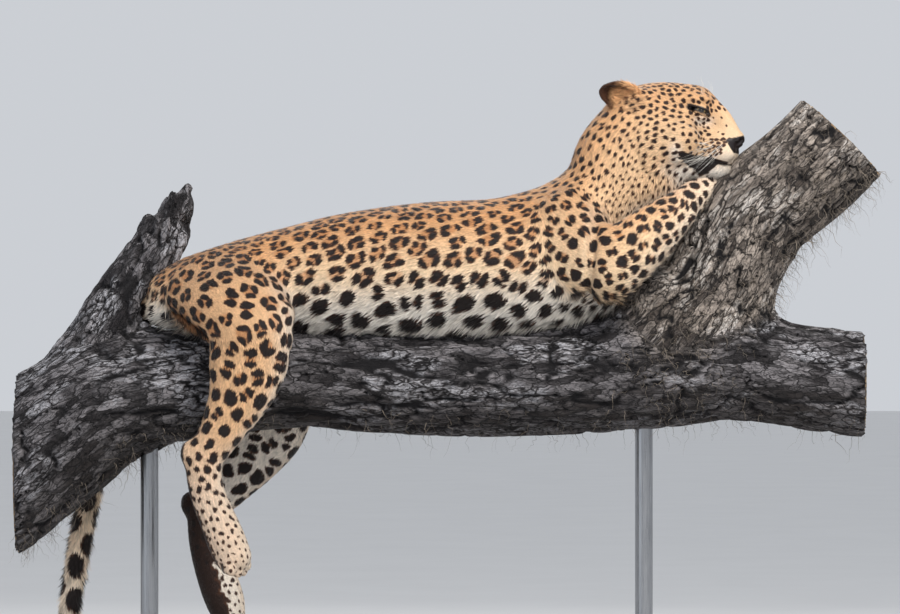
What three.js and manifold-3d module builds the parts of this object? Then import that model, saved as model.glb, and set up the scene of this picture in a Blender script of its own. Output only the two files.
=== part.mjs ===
// A life-size leopard at rest on a forked branch, as a still museum model on a plain display stand.
// Lengths are millimetres and +Z is up. The head points to +X and the animal's right side faces -Y.
// The origin is the middle of the stand base's underside.
import * as THREE from "three";
import { mergeVertices } from "three/addons/utils/BufferGeometryUtils.js";
import Module from "manifold-3d";

const wasm = await Module();
wasm.setup();

// Driving dimensions
const BASE_LENGTH = 1290;
const BASE_WIDTH = 470;
const BASE_THICKNESS = 30;
const BASE_CORNER = 60;
const TAIL_CLEARANCE = 30;
const TAIL_HANG = 715; // from the top of the branch down to the tip of the tail
const PERCH_TOP = BASE_THICKNESS + TAIL_CLEARANCE + TAIL_HANG;
const PERCH_LEFT = -742;
const PERCH_RIGHT = 780;
const ROD_RADIUS = 16;
const ROD_PLACES = { rear: -505, front: 385 };
const SEAM = 0.45; // how far one piece keeps clear of the next
const HEAD_TURN = 12; // degrees that the face is turned to the animal's right
const EYE_RADIUS = 14.5;
const LID_THICKNESS = 3;
const TOES = 4;

// The animal is laid out from the top of the branch: x along it, y across it, h above its top.
const at = (x, y, h) => new THREE.Vector3(x, y, PERCH_TOP + h);
const local = (x, y, z) => new THREE.Vector3(x, y, z);
const station = (place, wide, tall) => ({ place, wide, tall });
const ACROSS = local(0, 1, 0);

// Forms: each is a function of a point that gives a rough distance to a soft surface, negative inside.
function smoothMin(a, b, reach) {
  const near = Math.max(reach - Math.abs(a - b), 0) / reach;
  return Math.min(a, b) - (near * near * reach) / 4;
}

function blend(reach, ...forms) {
  return (p) => forms.map((form) => form(p)).reduce((a, b) => smoothMin(a, b, reach));
}

function hollow(form, dents, reach) {
  return (p) => dents.reduce((d, dent) => -smoothMin(-d, dent(p), reach), form(p));
}

function ellipsoid(centre, rx, ry, rz) {
  return (p) => {
    const x = p.x - centre.x;
    const y = p.y - centre.y;
    const z = p.z - centre.z;
    const share = Math.hypot(x / rx, y / ry, z / rz);
    const slope = Math.hypot(x / rx ** 2, y / ry ** 2, z / rz ** 2) + 1e-9;
    return (share * (share - 1)) / slope;
  };
}

// A soft tube of oval sections: a curve through the stations, with half a width along side and half a height.
const CURVE_STEPS = 4;

function chain(stations, side = ACROSS) {
  const count = (stations.length - 1) * CURVE_STEPS;
  const line = new THREE.CatmullRomCurve3(stations.map((s) => s.place));
  const sizes = new THREE.CatmullRomCurve3(stations.map((s) => local(s.wide, s.tall, 0)));
  const links = [];
  for (let i = 0; i < count; i += 1) {
    const a = line.getPoint(i / count);
    const along = line.getPoint((i + 1) / count).sub(a);
    const length = along.length();
    const t = along.clone().divideScalar(length);
    const s = side.clone().addScaledVector(t, -side.dot(t)).normalize();
    const u = t.clone().cross(s);
    links.push({ a, t, s, u, length, from: sizes.getPoint(i / count), to: sizes.getPoint((i + 1) / count) });
  }
  const v = new THREE.Vector3();
  const form = (p) => {
    let least = Infinity;
    for (const link of links) {
      v.copy(p).sub(link.a);
      const run = v.dot(link.t);
      const held = THREE.MathUtils.clamp(run, 0, link.length);
      const share = held / link.length;
      const wide = link.from.x + (link.to.x - link.from.x) * share;
      const tall = link.from.y + (link.to.y - link.from.y) * share;
      const x = v.dot(link.s);
      const y = v.dot(link.u);
      const z = run - held;
      const ratio = Math.hypot(x / wide, y / tall, z / Math.min(wide, tall)) + 1e-9;
      least = Math.min(least, ((ratio - 1) * Math.hypot(x, y, z)) / ratio);
    }
    return least;
  };
  return Object.assign(form, { line });
}

// Skins: rings of rays sent out from a line inside a form, each ending where it leaves the form.
const RAY_STEP = 4;
const RAY_LIMIT = 260;
const HALVINGS = 14;
const CAP_ANGLES = [0.6, 1.1];

function reach(form, from, direction, grow) {
  const p = new THREE.Vector3();
  const inside = (length) => form(p.copy(from).addScaledVector(direction, length)) < grow;
  let low = 0;
  while (low < RAY_LIMIT && inside(low + RAY_STEP)) low += RAY_STEP;
  let high = low + RAY_STEP;
  for (let i = 0; i < HALVINGS; i += 1) {
    const middle = (low + high) / 2;
    if (inside(middle)) low = middle;
    else high = middle;
  }
  return from.clone().addScaledVector(direction, low);
}

function skin(form, line, rings, segments, { side = ACROSS, grow = 0 } = {}) {
  const rows = [];
  const addRow = (share, lean) => {
    const from = line.getPointAt(share);
    const t = line.getTangentAt(share);
    const s = side.clone().addScaledVector(t, -side.dot(t)).normalize();
    const u = t.clone().cross(s);
    const row = [];
    for (let i = 0; i < segments; i += 1) {
      const turn = (2 * Math.PI * i) / segments;
      const out = s.clone().multiplyScalar(Math.cos(turn)).addScaledVector(u, Math.sin(turn));
      const ray = out.multiplyScalar(Math.cos(lean)).addScaledVector(t, Math.sin(lean));
      row.push(reach(form, from, ray, grow));
    }
    rows.push(row);
  };
  for (const lean of CAP_ANGLES.toReversed()) addRow(0, -lean);
  for (let i = 0; i < rings; i += 1) addRow(i / (rings - 1), 0);
  for (const lean of CAP_ANGLES) addRow(1, lean);
  const start = reach(form, line.getPointAt(0), line.getTangentAt(0).negate(), grow);
  const end = reach(form, line.getPointAt(1), line.getTangentAt(1), grow);
  const points = [...rows.flat(), start, end];
  const last = (rows.length - 1) * segments;
  const faces = [];
  for (let i = 0; i < segments; i += 1) {
    const next = (i + 1) % segments;
    faces.push(points.length - 2, next, i);
    faces.push(points.length - 1, last + i, last + next);
    for (let row = 0; row < last; row += segments) {
      faces.push(row + i, row + next, row + segments + next);
      faces.push(row + i, row + segments + next, row + segments + i);
    }
  }
  return new THREE.BufferGeometry().setFromPoints(points).setIndex(faces);
}

// Solids: joins and cuts of closed shapes
function solid(geometry) {
  const bare = new THREE.BufferGeometry();
  bare.setAttribute("position", geometry.getAttribute("position"));
  bare.setIndex(geometry.index);
  const merged = mergeVertices(bare, 1e-3);
  const mesh = new wasm.Mesh({
    numProp: 3,
    vertProperties: new Float32Array(merged.getAttribute("position").array),
    triVerts: new Uint32Array(merged.index.array),
  });
  return new wasm.Manifold(mesh);
}

function largest(body) {
  return body.decompose().reduce((a, b) => (a.volume() > b.volume() ? a : b));
}

function cut(body, ...tools) {
  return largest(tools.reduce((rest, tool) => rest.subtract(tool), body));
}

function join(...bodies) {
  return bodies.reduce((a, b) => a.add(b));
}

function geometryOf(body) {
  const mesh = body.getMesh();
  const points = new THREE.BufferAttribute(new Float32Array(mesh.vertProperties), mesh.numProp);
  const geometry = new THREE.BufferGeometry().setAttribute("position", points);
  geometry.setIndex(new THREE.BufferAttribute(new Uint32Array(mesh.triVerts), 1));
  geometry.computeVertexNormals();
  return geometry;
}

// A block by its lowest and highest corners
function block(low, high) {
  const size = high.clone().sub(low);
  const middle = low.clone().add(high).multiplyScalar(0.5);
  return new THREE.BoxGeometry(size.x, size.y, size.z).translate(middle.x, middle.y, middle.z);
}

// Both sides of one animal: the right side is -1 and the left side is +1 across the branch.
const SIDES = { right: -1, left: 1 };

// The perch: a gnarled branch, a limb that rises from its fork, and a broken stub behind the rump
const BARK_DEPTH = 3.5;
const bark = (form) => (p) =>
  form(p) - BARK_DEPTH * (Math.sin(p.x / 31 + p.y / 19) + Math.sin(p.z / 23 - p.y / 27 + p.x / 57));

const branchLine = [
  station(at(-790, 0, -288), 122, 128),
  station(at(-665, 0, -186), 118, 124),
  station(at(-594, 0, -140), 112, 116),
  station(at(-504, 0, -114), 102, 104),
  station(at(-414, 0, -103), 94, 95),
  station(at(-234, 0, -91), 88, 88),
  station(at(-54, 0, -94), 93, 93),
  station(at(126, 0, -94), 96, 96),
  station(at(306, 0, -84), 98, 100),
  station(at(486, 0, -74), 92, 93),
  station(at(630, 0, -84), 88, 89),
  station(at(800, 0, -104), 90, 90),
];
const limbLine = [
  station(at(430, 0, -30), 90, 92),
  station(at(522, 2, 84), 94, 96),
  station(at(586, 4, 194), 95, 97),
  station(at(698, 4, 304), 98, 96),
  station(at(828, 4, 428), 98, 96),
];
const limbEnd = { place: at(742, 4, 340), lean: 46 }; // the sawn end's middle and its lean in degrees
const stubLine = [
  station(at(-600, 20, -60), 78, 78),
  station(at(-543, 34, 58), 54, 59),
  station(at(-488, 44, 150), 38, 46),
  station(at(-458, 48, 206), 24, 32),
  station(at(-442, 50, 242), 8, 11),
];
const branchForm = chain(branchLine);
const limbForm = chain(limbLine);
const stubForm = chain(stubLine);

function perchSkins(grow) {
  return {
    branch: solid(skin(bark(branchForm), branchForm.line, 30, 14, { grow })),
    limb: solid(skin(bark(limbForm), limbForm.line, 10, 14, { grow })),
    stub: solid(skin(bark(stubForm), stubForm.line, 8, 9, { grow })),
  };
}
const perch = perchSkins(0);
const perchClear = perchSkins(SEAM);
const perchBlock = join(perchClear.branch, perchClear.limb, perchClear.stub);

const FAR = 900; // beyond everything, for the blocks that trim ends
const leftEnd = solid(block(local(-FAR - 200, -FAR, 0), local(PERCH_LEFT, FAR, 2 * FAR)));
const rightEnd = solid(block(local(PERCH_RIGHT, -FAR, 0), local(FAR + 200, FAR, 2 * FAR)));
const limbSaw = block(local(0, -FAR, -FAR), local(FAR, FAR, FAR));
limbSaw.rotateY(-THREE.MathUtils.degToRad(limbEnd.lean));
limbSaw.translate(limbEnd.place.x, limbEnd.place.y, limbEnd.place.z);
const perchBranch = cut(perch.branch, leftEnd, rightEnd);
const perchLimb = cut(perch.limb, perchClear.branch, solid(limbSaw));
const perchStub = cut(perch.stub, perchClear.branch);

// The torso, from the rump to the front of the chest
const torsoForm = chain([
  station(at(-482, 0, 55), 30, 28),
  station(at(-460, 0, 60), 66, 52),
  station(at(-415, 0, 66), 88, 70),
  station(at(-324, 0, 79), 97, 86),
  station(at(-234, 0, 90), 100, 98),
  station(at(-144, 0, 99), 110, 111),
  station(at(-54, 0, 104), 121, 120),
  station(at(36, 0, 108), 128, 124),
  station(at(126, 0, 112), 128, 123),
  station(at(205, 0, 116), 118, 121),
  station(at(262, 0, 116), 102, 106),
  station(at(306, 0, 112), 80, 84),
]);
const torsoShape = (grow) => solid(skin(torsoForm, torsoForm.line, 20, 22, { grow }));
const torsoClear = torsoShape(SEAM);

// The neck, rising from the shoulders to the back of the head
const neckTube = chain([
  station(at(190, 0, 138), 94, 94),
  station(at(262, 0, 190), 83, 88),
  station(at(316, -2, 240), 75, 86),
  station(at(346, -4, 298), 73, 90),
  station(at(378, -5, 344), 68, 84),
]);
const throat = ellipsoid(at(394, -5, 262), 64, 60, 54);
const neckForm = blend(30, neckTube, throat);
const neckShape = (grow) => solid(skin(neckForm, neckTube.line, 8, 18, { grow }));

// Legs. The right hind leg hangs in front of the branch and the left one hangs lower behind it.
const legs = {
  right: {
    thigh: [
      station(at(-398, -52, 74), 52, 84),
      station(at(-350, -104, 50), 60, 92),
      station(at(-300, -146, 6), 48, 74),
    ],
    shank: [
      station(at(-303, -150, -12), 44, 66),
      station(at(-319, -152, -52), 45, 75),
      station(at(-327, -152, -94), 42, 67),
      station(at(-350, -150, -148), 36, 52),
      station(at(-378, -147, -197), 30, 40),
      station(at(-398, -145, -228), 28, 37),
      station(at(-398, -145, -274), 27, 34),
      station(at(-387, -145, -312), 28, 34),
      station(at(-370, -146, -352), 31, 35),
      station(at(-357, -148, -384), 36, 36),
      station(at(-348, -150, -406), 35, 30),
    ],
    heel: at(-424, -145, -221),
    upperArm: [
      station(at(216, -74, 168), 44, 86),
      station(at(266, -96, 136), 48, 76),
      station(at(318, -116, 104), 44, 60),
    ],
    forearm: [
      station(at(316, -116, 102), 43, 59),
      station(at(352, -112, 134), 43, 58),
      station(at(396, -96, 170), 40, 52),
      station(at(434, -74, 202), 34, 40),
      station(at(466, -46, 230), 30, 31),
      station(at(490, -12, 250), 33, 24),
      station(at(510, 24, 262), 36, 22),
      station(at(524, 46, 264), 34, 20),
    ],
    hindToes: { side: local(0, 1, 0), spread: 17, size: 15, out: 26 },
    foreToes: { side: local(0.75, -0.5, 0.35), spread: 17, size: 14, out: 26 },
  },
  left: {
    thigh: [
      station(at(-398, 52, 72), 52, 84),
      station(at(-345, 108, 22), 56, 86),
      station(at(-262, 150, -112), 48, 60),
    ],
    shank: [
      station(at(-262, 152, -128), 44, 58),
      station(at(-288, 154, -186), 42, 64),
      station(at(-326, 154, -238), 38, 57),
      station(at(-372, 152, -290), 32, 46),
      station(at(-408, 150, -330), 28, 38),
      station(at(-411, 150, -374), 27, 36),
      station(at(-402, 150, -420), 28, 37),
      station(at(-389, 150, -462), 30, 38),
      station(at(-376, 150, -500), 36, 37),
      station(at(-368, 150, -524), 35, 31),
    ],
    heel: at(-440, 150, -322),
    upperArm: [
      station(at(216, 74, 168), 44, 86),
      station(at(262, 98, 138), 48, 76),
      station(at(312, 120, 106), 44, 58),
    ],
    forearm: [
      station(at(310, 122, 104), 42, 56),
      station(at(352, 128, 124), 42, 54),
      station(at(400, 132, 146), 38, 46),
      station(at(444, 134, 162), 33, 36),
      station(at(484, 134, 172), 28, 30),
      station(at(520, 130, 184), 24, 32),
      station(at(548, 122, 200), 22, 35),
    ],
    hindToes: { side: local(0, 1, 0), spread: 17, size: 15, out: 26 },
    foreToes: { side: local(-0.5, 0, 1), spread: 17, size: 14, out: 24 },
  },
};
const HEEL_RADIUS = 21;
const THIGH_SIDE = local(0, -0.7, 0.7);

function lean(side, sign) {
  return local(side.x, side.y * -sign, side.z);
}

// Four toes spread across the end of a foot, each a small egg sunk into the pad
function toes(stations, { side, spread, size, out }, grow) {
  const end = stations.at(-1).place;
  const ahead = end.clone().sub(stations.at(-2).place).normalize();
  const across = side.clone().addScaledVector(ahead, -side.dot(ahead)).normalize();
  const eggs = [];
  for (let i = 0; i < TOES; i += 1) {
    const place = (i - (TOES - 1) / 2) * spread;
    const forward = out - Math.abs(place) * 0.35;
    const egg = new THREE.SphereGeometry(1, 6, 5);
    egg.scale(size * 0.62 + grow, size * 0.62 + grow, size + grow);
    egg.applyQuaternion(new THREE.Quaternion().setFromUnitVectors(local(0, 0, 1), ahead));
    const middle = end.clone().addScaledVector(ahead, forward).addScaledVector(across, place);
    eggs.push(solid(egg.translate(middle.x, middle.y, middle.z)));
  }
  return eggs;
}

function legShapes(name, grow) {
  const sign = SIDES[name];
  const leg = legs[name];
  const thighSide = lean(THIGH_SIDE, sign);
  const thigh = chain(leg.thigh, thighSide);
  const shank = chain(leg.shank);
  const heel = ellipsoid(leg.heel, HEEL_RADIUS, HEEL_RADIUS, HEEL_RADIUS + 4);
  const upperArm = chain(leg.upperArm);
  const forearm = chain(leg.forearm);
  const hind = solid(skin(blend(16, shank, heel), shank.line, 20, 12, { grow }));
  const fore = solid(skin(forearm, forearm.line, 12, 12, { grow }));
  return {
    thigh: solid(skin(thigh, thigh.line, 7, 16, { side: thighSide, grow })),
    shank: join(hind, ...toes(leg.shank, leg.hindToes, grow)),
    upperArm: solid(skin(upperArm, upperArm.line, 5, 14, { grow })),
    forearm: join(fore, ...toes(leg.forearm, leg.foreToes, grow)),
  };
}

// The tail, over the back of the branch and straight down
const tailLine = [
  station(at(-470, 6, 50), 28, 28),
  station(at(-506, 16, 30), 27, 27),
  station(at(-534, 58, 8), 25, 25),
  station(at(-560, 108, -40), 24, 24),
  station(at(-582, 138, -112), 24, 24),
  station(at(-606, 142, -220), 23, 23),
  station(at(-628, 140, -330), 22, 22),
  station(at(-648, 136, -440), 21, 21),
  station(at(-662, 131, -550), 19, 19),
  station(at(-660, 127, -640), 16, 16),
  station(at(-640, 124, -690), 11, 11),
  station(at(-626, 123, -702), 8, 8),
];
const tailForm = chain(tailLine);
const tailShape = (grow) => solid(skin(tailForm, tailForm.line, 24, 9, { grow }));

// The head, in its own frame: x to the nose, y to its left, z up, from a point between the ears and eyes
const HEAD_PLACE = at(432, -5, 356);
const headFrame = new THREE.Matrix4()
  .makeRotationZ(THREE.MathUtils.degToRad(-HEAD_TURN))
  .setPosition(HEAD_PLACE);
const toHead = headFrame.clone().invert();
const pair = (make) => Object.values(SIDES).map(make);

const muzzle = chain([
  station(local(36, 0, -26), 46, 50),
  station(local(76, 0, -34), 38, 42),
  station(local(104, 0, -34), 33, 33),
]);
const bridge = chain([
  station(local(52, 0, 42), 27, 28),
  station(local(88, 0, 22), 20, 22),
  station(local(118, 0, -12), 17, 14),
]);
const jaw = chain([
  station(local(-24, 0, -66), 48, 30),
  station(local(50, 0, -70), 33, 19),
  station(local(94, 0, -68), 20, 13),
]);
const skull = blend(
  26,
  ellipsoid(local(-38, 0, 22), 70, 60, 62),
  ellipsoid(local(12, 0, 34), 60, 46, 50),
  ellipsoid(local(50, 0, 38), 30, 42, 34),
  ...pair((s) => ellipsoid(local(6, s * 48, -20), 54, 32, 48)),
  ...pair((s) => ellipsoid(local(-46, s * 36, -38), 52, 36, 52)),
);
const face = blend(
  12,
  blend(18, skull, muzzle, bridge, jaw),
  ellipsoid(local(126, 0, -20), 12, 17, 13),
  ...pair((s) => ellipsoid(local(104, s * 19, -42), 26, 20, 21)),
);
const eyePlace = (s) => local(59, s * 31, 31);
const sockets = pair((s) => ellipsoid(local(82, s * 48, 28), 14, 12, 11));
const headForm = hollow(face, sockets, 10);
const headLine = new THREE.CatmullRomCurve3([local(-72, 0, 6), local(20, 0, -4), local(108, 0, -34)]);

// A lid is a ball just larger than the eye, fused to the head and slit along the gap between the lids.
const SLIT_LENGTH = 30;
const SLIT_HEIGHT = 5;

function slit(s) {
  const lens = new THREE.SphereGeometry(1, 10, 6).scale(22, SLIT_LENGTH / 2, SLIT_HEIGHT / 2);
  lens.rotateX(s * 0.22).rotateZ(s * 0.8);
  const place = eyePlace(s);
  return solid(lens.translate(place.x + 11, place.y + s * 12, place.z));
}

function ball(centre, radius, around = 12, down = 8) {
  return solid(new THREE.SphereGeometry(radius, around, down).translate(centre.x, centre.y, centre.z));
}

// The line of the mouth is a thin bent wedge, from the front of the lips back to the cheek.
const MOUTH_HEIGHT = 3;
const mouthCut = () => {
  const outline = new THREE.Shape();
  outline.moveTo(34, -60);
  outline.quadraticCurveTo(70, -52, 92, -61);
  outline.quadraticCurveTo(116, -66, 140, -58);
  outline.lineTo(140, -58 + MOUTH_HEIGHT);
  outline.quadraticCurveTo(116, -66 + MOUTH_HEIGHT, 92, -61 + MOUTH_HEIGHT);
  outline.quadraticCurveTo(70, -52 + MOUTH_HEIGHT, 34, -60);
  const wedge = new THREE.ExtrudeGeometry(outline, { depth: 160, bevelEnabled: false, curveSegments: 4 });
  return solid(wedge.translate(0, 0, -80).rotateX(Math.PI / 2));
};
const MOUTH_DEPTH = 6;
const mouthCore = solid(skin(headForm, headLine, 12, 16, { grow: -MOUTH_DEPTH }));
const nostril = (s) => ball(local(137, s * 9, -22), 5, 8, 6);

function headShape(grow) {
  const lids = pair((s) => ball(eyePlace(s), EYE_RADIUS + LID_THICKNESS + grow));
  return join(solid(skin(headForm, headLine, 24, 26, { grow })), ...lids);
}

const eyeHole = (s) => ball(eyePlace(s), EYE_RADIUS + 1.5 * SEAM);
const finishedHead = cut(
  headShape(0),
  mouthCut().subtract(mouthCore),
  ...pair(nostril),
  ...pair(slit),
  ...pair(eyeHole),
);

// An ear is a cup, laid back: an egg along its length with a smaller egg taken out of its open side.
const EAR = { long: 40, wide: 27, deep: 16, wall: 4.5, open: 6 };
const EAR_ROOT = { x: -54, side: 50, z: 54 };
const EAR_LIFT = { right: 13, left: 2 }; // degrees that each ear's tip is raised

function earShape(name) {
  const s = SIDES[name];
  const lift = THREE.MathUtils.degToRad(EAR_LIFT[name]);
  const along = local(-Math.cos(lift), s * 0.3, Math.sin(lift)).normalize();
  const outward = local(0.1, s, -0.45);
  const open = outward.addScaledVector(along, -outward.dot(along)).normalize();
  const turn = new THREE.Matrix4().makeBasis(open, along.clone().cross(open), along);
  const middle = local(EAR_ROOT.x, s * EAR_ROOT.side, EAR_ROOT.z).addScaledVector(along, EAR.long * 0.85);
  turn.setPosition(middle);
  const outer = new THREE.SphereGeometry(1, 14, 10).scale(EAR.deep, EAR.wide, EAR.long);
  const inner = new THREE.SphereGeometry(1, 12, 8);
  inner.scale(EAR.deep - EAR.wall + 2, EAR.wide - EAR.wall, EAR.long - EAR.wall);
  inner.translate(EAR.open, 0, 2);
  return solid(outer.applyMatrix4(turn)).subtract(solid(inner.applyMatrix4(turn)));
}

// Fit the pieces to each other, in the order in which they are laid: perch, torso, limbs, neck, head.
const inHead = (body) => body.transform(toHead.elements);

const parts = {};
parts.torso = cut(torsoShape(0), perchBlock);
const clear = {};
for (const name of Object.keys(SIDES)) {
  const shape = legShapes(name, 0);
  const spare = legShapes(name, SEAM);
  parts[`hind_thigh_${name}`] = cut(shape.thigh, torsoClear, perchBlock);
  parts[`hind_foot_${name}`] = cut(shape.shank, spare.thigh, torsoClear, perchBlock);
  parts[`fore_upper_${name}`] = cut(shape.upperArm, torsoClear, perchBlock);
  parts[`fore_foot_${name}`] = cut(shape.forearm, spare.upperArm, torsoClear, perchBlock);
  clear[name] = spare;
}
const limbsClear = join(
  clear.right.thigh,
  clear.left.thigh,
  clear.right.upperArm,
  clear.left.upperArm,
  clear.right.forearm,
  clear.left.forearm,
);
parts.neck = cut(neckShape(0), torsoClear, limbsClear, perchBlock);
parts.tail = cut(tailShape(0), torsoClear, clear.left.thigh, clear.right.thigh, perchBlock);
const neckClear = join(neckShape(SEAM), torsoClear, limbsClear, perchBlock);
parts.head = cut(finishedHead, inHead(neckClear));

// The finished group
const coat = new THREE.MeshStandardMaterial({ color: 0xd9a86a, roughness: 0.85 });
const paleCoat = new THREE.MeshStandardMaterial({ color: 0xdcc6a0, roughness: 0.85 });
const eyeGloss = new THREE.MeshStandardMaterial({ color: 0x6b5a1e, roughness: 0.08 });
const barkSurface = new THREE.MeshStandardMaterial({ color: 0x6f675f, roughness: 0.95 });
const standPaint = new THREE.MeshStandardMaterial({ color: 0x2b2b2d, roughness: 0.45, metalness: 0.2 });
const steel = new THREE.MeshStandardMaterial({ color: 0x8e9094, roughness: 0.3, metalness: 1 });

function mesh(name, body, material) {
  const made = new THREE.Mesh(geometryOf(body), material);
  made.name = name;
  return made;
}

const head = new THREE.Group();
head.position.copy(HEAD_PLACE);
head.rotation.z = THREE.MathUtils.degToRad(-HEAD_TURN);
head.add(mesh("head", parts.head, coat));
const headClear = join(headShape(SEAM), inHead(neckShape(SEAM)));
for (const [name, s] of Object.entries(SIDES)) {
  head.add(mesh(`eye_${name}`, ball(eyePlace(s), EYE_RADIUS), eyeGloss));
  head.add(mesh(`ear_${name}`, cut(earShape(name), headClear), coat));
}

const animal = new THREE.Group();
animal.add(head);
animal.add(mesh("neck", parts.neck, coat));
animal.add(mesh("torso", parts.torso, coat));
animal.add(mesh("tail", parts.tail, coat));
for (const side of Object.keys(SIDES)) {
  for (const part of ["hind_thigh", "fore_upper"]) {
    animal.add(mesh(`${part}_${side}`, parts[`${part}_${side}`], coat));
  }
  for (const part of ["hind_foot", "fore_foot"]) {
    animal.add(mesh(`${part}_${side}`, parts[`${part}_${side}`], paleCoat));
  }
}

const branch = new THREE.Group();
branch.add(mesh("perch_branch", perchBranch, barkSurface));
branch.add(mesh("perch_limb", perchLimb, barkSurface));
branch.add(mesh("perch_stub", perchStub, barkSurface));

// The stand: a flat base with round corners, and two rods up to the branch
function baseShape() {
  const x = BASE_LENGTH / 2;
  const y = BASE_WIDTH / 2;
  const outline = new THREE.Shape();
  outline.moveTo(-x + BASE_CORNER, -y);
  outline.absarc(x - BASE_CORNER, -y + BASE_CORNER, BASE_CORNER, -Math.PI / 2, 0);
  outline.absarc(x - BASE_CORNER, y - BASE_CORNER, BASE_CORNER, 0, Math.PI / 2);
  outline.absarc(-x + BASE_CORNER, y - BASE_CORNER, BASE_CORNER, Math.PI / 2, Math.PI);
  outline.absarc(-x + BASE_CORNER, -y + BASE_CORNER, BASE_CORNER, Math.PI, 1.5 * Math.PI);
  return new THREE.ExtrudeGeometry(outline, { depth: BASE_THICKNESS, bevelEnabled: false, curveSegments: 5 });
}

function rodShape(x) {
  const height = PERCH_TOP - BASE_THICKNESS - SEAM - 60;
  const rod = new THREE.CylinderGeometry(ROD_RADIUS, ROD_RADIUS, height, 20).rotateX(Math.PI / 2);
  return cut(solid(rod.translate(x, 0, BASE_THICKNESS + SEAM + height / 2)), perchClear.branch);
}

const stand = new THREE.Group();
stand.add(mesh("stand_base", solid(baseShape()), standPaint));
for (const [name, x] of Object.entries(ROD_PLACES)) {
  stand.add(mesh(`stand_rod_${name}`, rodShape(x), steel));
}

const leopard = new THREE.Group();
leopard.add(animal, branch, stand);

export default leopard;
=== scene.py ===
# %% [markdown]
# # A leopard at rest on a forked branch
# This lesson dresses a life-size leopard for a museum. The solids of the model are loaded first and never
# moved. Over them come one skin for the whole animal, a coat of small tufts, the spots, the eyes and
# whiskers, and the bark of the branch. Lengths are in metres. Places on the animal are written in
# millimetres from the top of the branch, as a modelmaker would measure them, and turned into metres.

import math
from functools import partial

import bmesh
import bpy
import numpy as np
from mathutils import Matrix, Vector
from mathutils.kdtree import KDTree


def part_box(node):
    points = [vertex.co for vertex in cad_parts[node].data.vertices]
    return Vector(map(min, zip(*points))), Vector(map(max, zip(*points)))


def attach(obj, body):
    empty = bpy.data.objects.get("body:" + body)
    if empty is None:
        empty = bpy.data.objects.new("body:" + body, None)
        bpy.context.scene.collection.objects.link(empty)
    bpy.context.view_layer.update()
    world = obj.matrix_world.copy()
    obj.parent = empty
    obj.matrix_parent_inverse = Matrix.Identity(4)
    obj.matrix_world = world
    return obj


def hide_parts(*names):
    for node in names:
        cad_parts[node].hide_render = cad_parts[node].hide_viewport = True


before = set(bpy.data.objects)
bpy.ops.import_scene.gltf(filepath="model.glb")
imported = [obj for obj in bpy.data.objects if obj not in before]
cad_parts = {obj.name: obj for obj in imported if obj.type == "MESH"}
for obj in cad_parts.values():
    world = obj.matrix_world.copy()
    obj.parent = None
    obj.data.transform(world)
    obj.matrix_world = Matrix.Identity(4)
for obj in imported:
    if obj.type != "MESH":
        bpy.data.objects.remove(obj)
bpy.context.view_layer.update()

# %% Driving sizes
MM = 0.001
TAIL_CLEARANCE = 0.030
TAIL_HANG = 0.715
PERCH_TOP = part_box("stand_base")[1][2] + TAIL_CLEARANCE + TAIL_HANG
HEAD_TURN = math.radians(12)
EYE_RADIUS = 0.0145
LID_THICKNESS = 0.003
TOES = 4
SIDES = {"right": -1, "left": 1}
rng = np.random.default_rng(7)
print(f"top of the branch at {PERCH_TOP:.3f} m")


def at(x, y, h):
    """A place in metres, from millimetres along, across and above the top of the branch."""
    return np.array([x * MM, y * MM, PERCH_TOP + h * MM])


def mm(*values):
    return np.array(values, float) * MM


def direction(vector, square_to=None):
    """A vector made one long, and square to another direction where one is given."""
    vector = np.array(vector, float)
    if square_to is not None:
        vector -= square_to * (vector @ square_to)
    return vector / np.linalg.norm(vector)


def in_scene(name, data):
    """A new object in the scene, which shows the data."""
    made = bpy.data.objects.new(name, data)
    bpy.context.scene.collection.objects.link(made)
    return made


# %% [markdown]
# ## Soft forms
# A body is easiest to shape as a distance field: a function that is negative inside and positive outside.
# Tubes of oval section make the trunk and the limbs, eggs make the muscles, and a smooth minimum melts one
# form into the next as muscle does under skin. The same stations as in the solids keep skin and solids alike.


# %% Distance helpers
def lengths(vectors):
    return np.linalg.norm(vectors, axis=1)


def smooth_min(a, b, reach):
    near = np.maximum(reach - np.abs(a - b), 0) / reach
    return np.minimum(a, b) - near * near * reach / 4


def carve(form, dent, reach):
    return -smooth_min(-form, dent, reach)


def ramp(value, low, high):
    """Rises smoothly from 0 at low to 1 at high, or falls where high is below low."""
    share = np.clip((value - low) / (high - low), 0, 1)
    return share * share * (3 - 2 * share)


def egg(points, centre, radii):
    v = points - centre
    share = lengths(v / radii)
    slope = lengths(v / radii**2) + 1e-9
    return share * (share - 1) / slope


def curve_through(points, steps):
    """A centripetal Catmull-Rom curve, which passes through its points without loops."""
    ends = [2 * points[0] - points[1], *points, 2 * points[-1] - points[-2]]
    rows = []
    for p0, p1, p2, p3 in zip(ends, ends[1:], ends[2:], ends[3:]):
        d0, d1, d2 = (math.sqrt(np.linalg.norm(q - p)) for p, q in ((p0, p1), (p1, p2), (p2, p3)))
        d1 = d1 if d1 > 0.01 else 1.0
        d0 = d0 if d0 > 0.01 else d1
        d2 = d2 if d2 > 0.01 else d1
        leave = ((p1 - p0) / d0 - (p2 - p0) / (d0 + d1) + (p2 - p1) / d1) * d1
        arrive = ((p2 - p1) / d1 - (p3 - p1) / (d1 + d2) + (p3 - p2) / d2) * d1
        for s in np.arange(steps) / steps:
            bend = (-3 * p1 + 3 * p2 - 2 * leave - arrive) * s**2
            rows.append(p1 + leave * s + bend + (2 * p1 - 2 * p2 + leave + arrive) * s**3)
    return np.array([*rows, points[-1]])


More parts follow.
